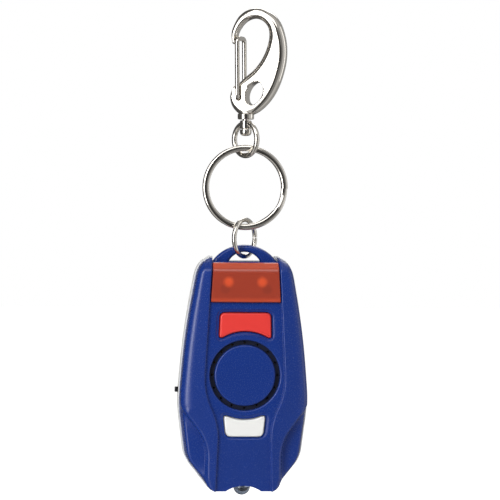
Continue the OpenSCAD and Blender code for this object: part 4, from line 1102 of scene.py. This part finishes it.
def band(s, p, margin, under0, under1, low, top):
    """A band across the channel between two depths under the rails' edge, folded at the crown."""
    fold = 1.3 * MM
    stops = [(low + 0.4 * MM, 3), (p.crown_z - fold, 14), (p.crown_z + fold, 2)]
    rings = []
    for z in [low] + levels(stops, top) + [top]:
        x = lookup(min(max(z, p.lens_low), p.lens_top), p.channel) - s.lens_gap + margin
        face = lookup(z, p.depth) + s.rail
        rings.append([at(side, face - under, z) for side, under in rectangle(-x, x, under1, under0)])
    return skin(rings)


def bail_shape(s, p, n=40):
    """The arch over the top: two arcs with rounded edges between them, rooted in the case."""
    cuts = list(zip(arch(s.bail_w, s.bail_h, n), arch(s.bail_slot, s.bail_h - s.bail_t, n)))
    sink = Vector((0, -0.9 * MM))
    cuts = [tuple(q + sink for q in cuts[0])] + cuts + [tuple(q + sink for q in cuts[-1])]
    rings = []
    for outer, inner in cuts:
        ring = plate_ring(outer, inner, s.bail_depth, 1.0 * MM)
        rings.append([at(q.x, s.bail_depth / 2 - q.y, p.top + q.z) for q in ring])
    return skin(rings)


class ALARM_OT_front(bpy.types.Operator):
    """Moulded blue front: rails, channel, grip scallops, openings and bail"""

    bl_idname = "alarm.front"
    bl_label = "Front shell"

    def execute(self, context):
        s = context.scene.alarm_case
        p = case_plan(s)
        # The closer steps are where the scallops end and where the crown bends.
        stops = [(0, 20), (s.hip_z, 10), (s.toe_z, 40), (s.waist_z + 4 * MM, 26), (p.crown_z - 1.5 * MM, 34)]
        heights = levels(stops, s.height) + [s.height - 0.01 * MM]
        shell = piece("front_case", skin([section_ring(front_corners(s, p, z), z, 8) for z in heights]))
        stops = [(p.foot_wall, 8), (s.toe_z, 14), (s.waist_z + 3 * MM, 8)]
        heights = levels(stops, p.cavity_bend) + [p.cavity_bend, p.cavity_top]
        carve(shell, piece("cavity", skin([section_ring(cavity_corners(s, p, z), z, 4) for z in heights])))
        wells = [well(s, loop) for loop in (alarm_outline(s), torch_outline(s))]
        dip = top_dip(p, lookup(p.top, p.channel) + 0.12 * MM)
        carve(shell, piece("openings", dip, siren_hole(s), *wells, notch_tool(s)))
        pocket = band(s, p, s.lens_gap, -9 * MM, s.lens_t, p.lens_low - s.lens_gap, p.top + 1 * MM)
        carve(shell, piece("pocket", pocket, torch_bore(s, p)))
        # Behind the window the wall is open, with a ledge that carries the window's edge.
        ledge = 1.2 * MM
        low, high = lookup(p.lens_low, p.channel) - ledge, lookup(p.lens_top, p.channel) - ledge
        z0, z1 = p.lens_low + ledge, p.cavity_top - 0.6 * MM
        opening = bar([(-low, z0), (low, z0), (high, z1), (-high, z1)], 1.6 * MM, THROUGH)
        carve(shell, piece("window", opening))
        carve(shell, piece("bail", bail_shape(s, p)), "UNION")
        settle(shell, "alarm", "blue_abs", "front_shell")
        return {"FINISHED"}


def screw_places(s):
    """The four screws in the back, as (x, height)."""
    upper = (s.crest_w / 2 + 2 * MM, s.height - 12 * MM)
    lower = (s.scallop_w / 2 + 2.4 * MM, s.scallop_z - 0.6 * MM)
    return [(side * x, z) for x, z in (upper, lower) for side in (1, -1)]


def screw_well(s, x, z):
    """Cutting tool for a screw: its hole, the head's seat and a rounded rim."""
    shank, head = s.screw_d / 2 + 0.2 * MM, s.head_d / 2 + 0.15 * MM
    seat = s.rear - s.head_h - 0.3 * MM
    profile = [(shank, 1 * MM), (shank, -seat), (head, -seat)]
    rim = ((0, 0.25), (0.12, 0.08), (0.35, -0.05), (1, -1))
    profile += [(head + wide * MM, -s.rear + inside * MM) for wide, inside in rim]
    return turned(profile, x, z, 40)


def knob_slot(s):
    """Cutting tool for the slide knob's slot in the left side."""
    half, depth, wall = s.knob / 2 + 0.25 * MM, -1.4 * MM, -s.waist_w / 2
    low, high = s.knob_z - half, s.knob_z + s.knob_travel + half
    return block(wall - 2 * MM, wall + 3.5 * MM, depth - half, depth + half, low, high)


class ALARM_OT_rear(bpy.types.Operator):
    """Moulded white back with a rounded edge, screw wells and the knob's slot"""

    bl_idname = "alarm.rear"
    bl_label = "Rear shell"

    def execute(self, context):
        s = context.scene.alarm_case
        p = case_plan(s)
        outline = grown([Vector((-q.x, q.y)) for q in p.outline[::-1]] + list(p.outline), s.lip)

        def tub(inwards, depth, radius, front, steps):
            """A tub with a rounded back edge."""
            rings = [tier(outline, -inwards, -front), tier(outline, -inwards, radius - depth)]
            for a in sweep(0, QUARTER, steps)[1:]:
                inset = inwards + radius * 0.8 * (1 - math.cos(a))
                rings.append(tier(outline, -inset, -(depth - radius + radius * math.sin(a))))
            return skin(rings)

        shell = piece("rear_case", tub(0, s.rear, s.rear_r, 0, 9))
        inner_r = max(s.rear_r - s.wall, 0.8 * MM)
        hollow = piece("hollow", tub(s.wall + s.lip, s.rear - s.wall, inner_r, -0.5 * MM, 4))
        keep = block(-50 * MM, 50 * MM, -50 * MM, 5 * MM, p.foot_wall, p.top - 1.6 * MM)
        carve(hollow, piece("keep", keep), "INTERSECT")
        carve(shell, hollow)
        dip = top_dip(p, lookup(p.top, p.channel) - 0.4 * MM)
        wells = [screw_well(s, x, z) for x, z in screw_places(s)]
        carve(shell, piece("openings", dip, knob_slot(s), notch_tool(s), *wells))
        carve(shell, piece("bore", torch_bore(s, p)))
        settle(shell, "alarm", "white_abs", "rear_shell")
        return {"FINISHED"}


class ALARM_OT_window(bpy.types.Operator):
    """Amber strobe window, folded over the top of the case"""

    bl_idname = "alarm.window"
    bl_label = "Strobe window"

    def execute(self, context):
        s = context.scene.alarm_case
        p = case_plan(s)
        lens = piece("window_pane", band(s, p, 0, 0, s.lens_t, p.lens_low, p.lens_top))
        rounded(lens, 0.3 * MM)
        settle(lens, "alarm", "amber_polycarbonate", "strobe_lens", angle=25)
        return {"FINISHED"}


def key_cap(s, name, loop, centre_z):
    """A push button: flange, straight sides, rounded rim and a crowned face."""
    face, flange = s.front + s.rise, s.front - s.wall - 0.05 * MM
    r, crown, lip = 0.5 * MM, 60 * MM, 0.8 * MM

    def crowned(line, depth):
        return [at(q.x, depth - (q.y - centre_z) ** 2 / (2 * crown), q.y) for q in line]

    rings = [tier(loop, lip, flange - 0.7 * MM), tier(loop, lip, flange), tier(loop, 0, flange)]
    for a in sweep(0, QUARTER, 6):
        rings.append(crowned(grown(loop, -r * (1 - math.cos(a))), face - r + r * math.sin(a)))
    rim, centre = grown(loop, -r), Vector((0, centre_z))
    for scale in (0.9, 0.75, 0.55, 0.3, 0):
        rings.append(crowned([centre + (q - centre) * scale for q in rim], face))
    return piece(name, skin(rings))


class ALARM_OT_buttons(bpy.types.Operator):
    """Red alarm button and white torch button, hollowed round the siren"""

    bl_idname = "alarm.buttons"
    bl_label = "Buttons"

    def execute(self, context):
        s = context.scene.alarm_case
        alarm_mid = s.siren_z + (s.alarm_top + s.hollow) / 2
        torch_mid = s.siren_z - (s.torch_low + s.hollow) / 2
        red = key_cap(s, "alarm_key_cap", alarm_outline(s), alarm_mid)
        settle(red, "alarm_key", "red_abs", "alarm_button", angle=40)
        white = key_cap(s, "torch_key_cap", torch_outline(s), torch_mid)
        settle(white, "torch_key", "white_abs", "torch_button", angle=40)
        return {"FINISHED"}


class ALARM_OT_siren(bpy.types.Operator):
    """Round siren cover with a soft rim, on its stem"""

    bl_idname = "alarm.siren"
    bl_label = "Siren cover"

    def execute(self, context):
        s = context.scene.alarm_case
        low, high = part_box("siren_cap")
        back, face = PARTING_Y - high.y, PARTING_Y - low.y
        radius, r, stem = (high.x - low.x) / 2, 0.55 * MM, 3 * MM
        crown, under = 0.06 * MM, face - s.cover
        profile = [(0.05 * MM, back), (stem, back), (stem, under)]
        profile += [(radius - 0.2 * MM, under), (radius, under + 0.2 * MM)]
        for a in sweep(0, QUARTER, 8):
            profile.append((radius - r + r * math.cos(a), face - crown - r + r * math.sin(a)))
        for share in (0.85, 0.6, 0.35, 0.1, 0.005):
            profile.append(((radius - r) * share, face - crown + crown * (1 - share ** 2)))
        cover = piece("siren_cover", turned(profile, 0, s.siren_z, 128))
        settle(cover, "alarm", "blue_abs", "siren_cap", angle=40)
        return {"FINISHED"}


def lamp_shape(s, low, high):
    """The torch lamp in its box: a domed tip, a straight body and a flange."""
    r, flange, base = s.torch_d / 2, (high.x - low.x) / 2, high.z
    profile = [(POLE, low.z)]
    for a in sweep(0, QUARTER, 14)[1:]:
        profile.append((r * math.sin(a), low.z + r - r * math.cos(a)))
    profile += [(r, base - 1.0 * MM), (r + 0.08 * MM, base - 0.92 * MM)]
    rim = ((0.1, 0.9), (0, 0.8), (0, 0.1), (0.1, 0))
    profile += [(flange - inwards * MM, base - down * MM) for inwards, down in rim] + [(POLE, base)]
    return lathe(profile, 64, y=PARTING_Y)


def lead_frame_shapes(tip):
    """The reflector cup and the post inside the lamp, in millimetres above its tip."""
    cup = [(0.25, 3.1), (0.55, 2.95), (0.95, 2.3), (1.05, 2.3), (1.05, 3.4), (0.9, 4.6), (0.25, 4.6)]
    post = [(0.9, 2.7), (1.4, 3.0), (1.4, 6.8), (1.1, 6.8)]
    sides = (PARTING_Y - 0.3 * MM, PARTING_Y + 0.3 * MM)
    return (
        lathe([(r * MM, z * MM) for r, z in cup], 32, -0.35 * MM, PARTING_Y, tip),
        skin([[Vector((x * MM, y, tip + z * MM)) for x, z in post] for y in sides]),
    )


def knob_parts():
    """The slide knob's block, and the three ribs across its outer face."""
    low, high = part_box("switch_knob")
    face, ends = rectangle(low.y, high.y, low.z, high.z), (low.x + 0.12 * MM, high.x)
    parts = [skin([[Vector((x, y, z)) for y, z in face] for x in ends])]
    half, depth, side = 0.14 * MM, 0.5 * MM, 0.06 * MM
    for k in range(3):
        z = mix(low.z, high.z, (k + 0.5) / 3)
        rib = rectangle(low.x, low.x + depth, z - half, z + half)
        parts.append(skin([[Vector((x, y, h)) for x, h in rib] for y in (low.y + side, high.y - side)]))
    return parts


class ALARM_OT_torch(bpy.types.Operator):
    """Clear torch lamp with its lead frame, and the slide knob"""

    bl_idname = "alarm.torch"
    bl_label = "Torch and knob"

    def execute(self, context):
        low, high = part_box("torch_led")
        lamp = piece("torch_lamp", lamp_shape(context.scene.alarm_case, low, high))
        settle(lamp, "alarm", "clear_epoxy", "torch_led", angle=30)
        core = piece("torch_lead_frame", *lead_frame_shapes(low.z))
        settle(core, "alarm", "tinned_steel", angle=35)
        body, *ribs = knob_parts()
        knob = piece("slide_knob", body)
        for rib in ribs:
            carve(knob, piece("rib", rib), "UNION")
        rounded(knob, 0.06 * MM, 2)
        settle(knob, "slide_key", "black_nylon", "switch_knob")
        return {"FINISHED"}


def screw_tree():
    """Geometry nodes: one screw set on each point, each turned by chance about its axis."""
    inputs = (("Places", "Geometry"), ("Screw", "Object"), ("Finish", "Material"))
    tree, given = new_tree("Screws on points", inputs, "Screws")
    screw = put(tree, "GeometryNodeObjectInfo", {"Object": given["Screw"]})
    points = put(tree, "GeometryNodeMeshToPoints", {"Mesh": given["Places"]})
    turns = put(tree, "FunctionNodeRandomValue", {2: 0.0, 3: 1.5, "Seed": 4}, data_type="FLOAT")
    facing = put(tree, "ShaderNodeCombineXYZ", {"Y": turns.outputs[1]}).outputs["Vector"]
    setting = {"Points": points.outputs["Points"], "Instance": screw.outputs["Geometry"], "Rotation": facing}
    set_on = put(tree, "GeometryNodeInstanceOnPoints", setting)
    return end_tree(tree, set_on.outputs["Instances"], given["Finish"])


def screw_model(s, reach):
    """One pan-head screw along Y, with a cross recess in its head."""
    head, shank, dome = s.head_d / 2, s.screw_d / 2, 0.45 * MM
    profile = [(POLE, reach), (shank * 0.6, reach), (shank, reach - 0.5 * MM), (shank, s.head_h)]
    profile += [(head - 0.05 * MM, s.head_h), (head, s.head_h - 0.06 * MM), (head, dome)]
    for a in sweep(0, QUARTER, 6)[1:]:
        profile.append((mix(head, POLE, 1 - math.cos(a)), dome * (1 - math.sin(a))))
    upright = Matrix.Rotation(QUARTER, 4, "X")
    screw = piece("screw", lathe(profile, 40), place=upright)
    arm = rectangle(-0.22 * MM, 0.22 * MM, -0.95 * MM, 0.95 * MM)
    recess = skin([[Vector((x, y, z)) for x, y in arm] for z in (-0.5 * MM, 0.65 * MM)])
    for angle in (0, QUARTER):
        carve(screw, piece("recess", recess, place=upright @ Matrix.Rotation(angle, 4, "Z")))
    return screw


class ALARM_OT_screws(bpy.types.Operator):
    """Four pan-head screws with cross recesses, in the wells of the back"""

    bl_idname = "alarm.screws"
    bl_label = "Case screws"

    def execute(self, context):
        s = context.scene.alarm_case
        low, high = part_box("case_screws")
        screw = screw_model(s, high.y - low.y)
        places = [(x, high.y, FOOT_Z + z) for x, z in screw_places(s)]
        values = {"Screw": screw, "Finish": finishes()["zinc_screw"]}
        screws = grow("back_screws", places, [], screw_tree(), values)
        bpy.data.objects.remove(screw)
        settle(screws, "alarm", "zinc_screw", "case_screws", angle=35)
        return {"FINISHED"}


class ALARM_OT_inside(bpy.types.Operator):
    """Finishes of the pieces that keep their CAD shape"""

    bl_idname = "alarm.inside"
    bl_label = "Inner pieces"

    def execute(self, context):
        looks = {part["node"]: finishes()[part["material_slot"]] for part in frame["record"]["subparts"]}
        # The capsule lies deep in the groove; its navy is painted blue light bounced from the walls round it,
        # over its own black.
        looks["siren_capsule"] = moulded_abs("Black capsule nylon", linear(0x061233), 0.7)
        for name, node in frame["nodes"].items():
            node.data.materials.clear()
            node.data.materials.append(looks[name])
        return {"FINISHED"}


# Soft boxes: name, place, width and height in metres, and power in watts. All face one point.
SOFT_BOXES = (
    ("Left soft box", (-0.73, -0.77, 0.1), (0.35, 1.1), 7.3),
    ("Right soft box", (1.0, -0.1, 0.05), (0.3, 1.1), 1.1),
    ("Top soft box", (-0.15, -0.7, 0.62), (0.95, 0.5), 3.2),
    ("Back soft box", (0.15, 0.85, 0.85), (0.9, 0.9), 7.0),
)
BOXES_FACE = Vector((0, 0, -0.07))
# Dim parts of the surroundings: measure, start, end and softness in degrees, and depth.
DIM_PARTS = (
    ("ahead", -20, 10, 5, 0.93),
    ("round", -22, 5, 5, 0.93),
    ("round", 5, 38, 6, 0.6),
    ("round", 88, 190, 10, 0.35),
    ("round", 150, 200, 15, 0.85),
    ("round", -200, -68, 6, 0.85),
)
# Turn of the dim spot ahead, and strength of the surroundings in mirrored and in scattered light.
DIM_TURN = math.radians(7)
MIRRORED_LIGHT, SCATTERED_LIGHT = 0.62, 0.26
# Half the floor's side in metres, and the light that keeps it white to the camera.
FLOOR_REACH, FLOOR_LIFT = 4.0, 0.85
SENSOR_MM = 36.0


class ALARM_OT_stage(bpy.types.Operator):
    """White studio with soft boxes, floor and camera"""

    bl_idname = "alarm.stage"
    bl_label = "Studio"

    def execute(self, context):
        scene = context.scene
        scene.view_settings.view_transform = "Standard"
        self.surroundings(scene)
        self.floor(scene.alarm_stage)
        for name, place, size, power in SOFT_BOXES:
            self.soft_box(name, Vector(place), size, power)
        self.camera(scene, scene.alarm_stage)
        return {"FINISHED"}

    def surroundings(self, scene):
        """White walls, with a dim camera side that gives polished metal its dark lines."""
        world = bpy.data.worlds.new("White studio")
        world.use_nodes = True
        scene.world = world
        tree = world.node_tree
        tree.nodes.clear()
        way = put(tree, "ShaderNodeTexCoord").outputs["Generated"]
        axis = (math.sin(DIM_TURN), -math.cos(DIM_TURN), 0)
        ahead = put(tree, "ShaderNodeVectorMath", {0: way, 1: axis}, operation="DOT_PRODUCT").outputs["Value"]
        axes = put(tree, "ShaderNodeSeparateXYZ", {"Vector": way}).outputs
        back = put(tree, "ShaderNodeMath", {0: axes["Y"], 1: -1.0}, operation="MULTIPLY").outputs[0]
        angles = {
            "ahead": put(tree, "ShaderNodeMath", {0: ahead}, operation="ARCCOSINE").outputs[0],
            "round": put(tree, "ShaderNodeMath", {0: axes["X"], 1: back}, operation="ARCTAN2").outputs[0],
        }
        shade = None
        for measure, start, end, soft, depth in DIM_PARTS:
            edges = []
            for middle, first, last in ((start, 0.0, depth), (end, 1.0, 0.0)):
                near, far = math.radians(middle - soft), math.radians(middle + soft)
                fade = dict(zip(RANGE, (angles[measure], near, far, first, last)))
                edge = put(tree, "ShaderNodeMapRange", fade, interpolation_type="SMOOTHSTEP")
                edges.append(edge.outputs[0])
            dim = put(tree, "ShaderNodeMath", {0: edges[0], 1: edges[1]}, operation="MULTIPLY").outputs[0]
            if shade is not None:
                dim = put(tree, "ShaderNodeMath", {0: shade, 1: dim}, operation="MAXIMUM").outputs[0]
            shade = dim
        lit = put(tree, "ShaderNodeMath", {0: 1.0, 1: shade}, operation="SUBTRACT").outputs[0]
        glossy = put(tree, "ShaderNodeMath", {0: lit, 1: MIRRORED_LIGHT}, operation="MULTIPLY").outputs[0]
        ray = put(tree, "ShaderNodeLightPath").outputs
        rays = {0: ray["Is Glossy Ray"], 1: ray["Is Transmission Ray"]}
        seen = put(tree, "ShaderNodeMath", rays, operation="MAXIMUM").outputs[0]
        lights = {"Factor": seen, "A": SCATTERED_LIGHT, "B": glossy}
        level = put(tree, "ShaderNodeMix", lights, data_type="FLOAT").outputs["Result"]
        views = {"Factor": ray["Is Camera Ray"], "A": level, "B": 1.0}
        full = put(tree, "ShaderNodeMix", views, data_type="FLOAT").outputs["Result"]
        light = put(tree, "ShaderNodeBackground", {"Color": (1, 1, 1, 1), "Strength": full})
        put(tree, "ShaderNodeOutputWorld", {"Surface": light.outputs["Background"]})

    def floor(self, s):
        """A wide pale floor that is white to the camera and still takes the shadow."""
        mesh = bpy.data.meshes.new("floor")
        corners = rectangle(-FLOOR_REACH, FLOOR_REACH, -FLOOR_REACH, FLOOR_REACH)
        mesh.from_pydata([(x, y, s.floor_z) for x, y in corners], [], [(0, 1, 2, 3)])
        floor = add_object("floor", mesh)
        finish, tree, _ = new_finish("Painted floor")
        ray = put(tree, "ShaderNodeLightPath").outputs
        seen = ray["Is Camera Ray"]
        for kind in ("Is Glossy Ray", "Is Transmission Ray"):
            seen = put(tree, "ShaderNodeMath", {0: seen, 1: ray[kind]}, operation="MAXIMUM").outputs[0]
        lift = put(tree, "ShaderNodeMath", {0: seen, 1: FLOOR_LIFT}, operation="MULTIPLY").outputs[0]
        look = {"Base Color": rgba(linear(0xF4F4F3)), "Roughness": 0.9}
        look.update({"Emission Color": (1, 1, 1, 1), "Emission Strength": lift})
        shader = put(tree, "ShaderNodeBsdfPrincipled", look)
        put(tree, "ShaderNodeOutputMaterial", {"Surface": shader.outputs["BSDF"]})
        mesh.materials.append(finish)
        floor.visible_glossy = False

    def soft_box(self, name, place, size, power):
        """A rectangular lamp that the camera doesn't see."""
        lamp = bpy.data.lights.new(name, "AREA")
        lamp.shape = "RECTANGLE"
        lamp.size, lamp.size_y = size
        lamp.energy = power
        box = add_object(name, lamp)
        box.location = place
        box.rotation_mode = "QUATERNION"
        box.rotation_quaternion = (BOXES_FACE - place).to_track_quat("-Z", "Y")
        box.visible_camera = False

    def camera(self, scene, s):
        """The camera at the photograph's viewing angle."""
        data = bpy.data.cameras.new("Camera")
        camera = add_object("Camera", data)
        data.sensor_width = SENSOR_MM
        data.lens = SENSOR_MM * s.distance / s.field
        data.clip_start, data.clip_end = 0.01, 50
        a, e = s.azimuth, s.elevation
        back = Vector((math.sin(a) * math.cos(e), -math.cos(a) * math.cos(e), math.sin(e)))
        aim = Vector((s.aim_x * math.cos(a), s.aim_x * math.sin(a), s.aim_z))
        camera.location = aim + back * s.distance
        camera.rotation_mode = "QUATERNION"
        look = (-back).to_track_quat("-Z", "Y")
        camera.rotation_quaternion = look @ Matrix.Rotation(s.roll, 3, "Z").to_quaternion()
        scene.camera = camera


class ALARM_PT_panel(bpy.types.Panel):
    """Lists the alarm's pieces"""

    bl_idname = "ALARM_PT_panel"
    bl_label = "Personal safety alarm"
    bl_space_type = "VIEW_3D"
    bl_region_type = "UI"
    bl_category = "Alarm"

    def draw(self, context):
        for operator in PIECES:
            self.layout.operator(operator.bl_idname)


PIECES = (
    ALARM_OT_inside, ALARM_OT_hook, ALARM_OT_gate, ALARM_OT_swivel, ALARM_OT_rings, ALARM_OT_front,
    ALARM_OT_rear, ALARM_OT_window, ALARM_OT_buttons, ALARM_OT_siren, ALARM_OT_torch, ALARM_OT_screws,
    ALARM_OT_stage,
)
GROUPS = {
    "alarm_hook": AlarmHookSizes, "alarm_rings": AlarmRingSizes, "alarm_case": AlarmCaseSizes,
    "alarm_colours": AlarmColours, "alarm_stage": AlarmStageSizes,
}


def register():
    for group in GROUPS.values():
        bpy.utils.register_class(group)
    for name, group in GROUPS.items():
        setattr(bpy.types.Scene, name, bpy.props.PointerProperty(type=group))
    for item in PIECES + (ALARM_PT_panel,):
        bpy.utils.register_class(item)


def unregister():
    for item in (ALARM_PT_panel,) + PIECES[::-1]:
        bpy.utils.unregister_class(item)
    for name in GROUPS:
        delattr(bpy.types.Scene, name)
    for group in GROUPS.values():
        bpy.utils.unregister_class(group)


def main():
    register()
    for operator in PIECES:
        family, name = operator.bl_idname.split(".")
        getattr(getattr(bpy.ops, family), name)()


if __name__ == "__main__":
    main()
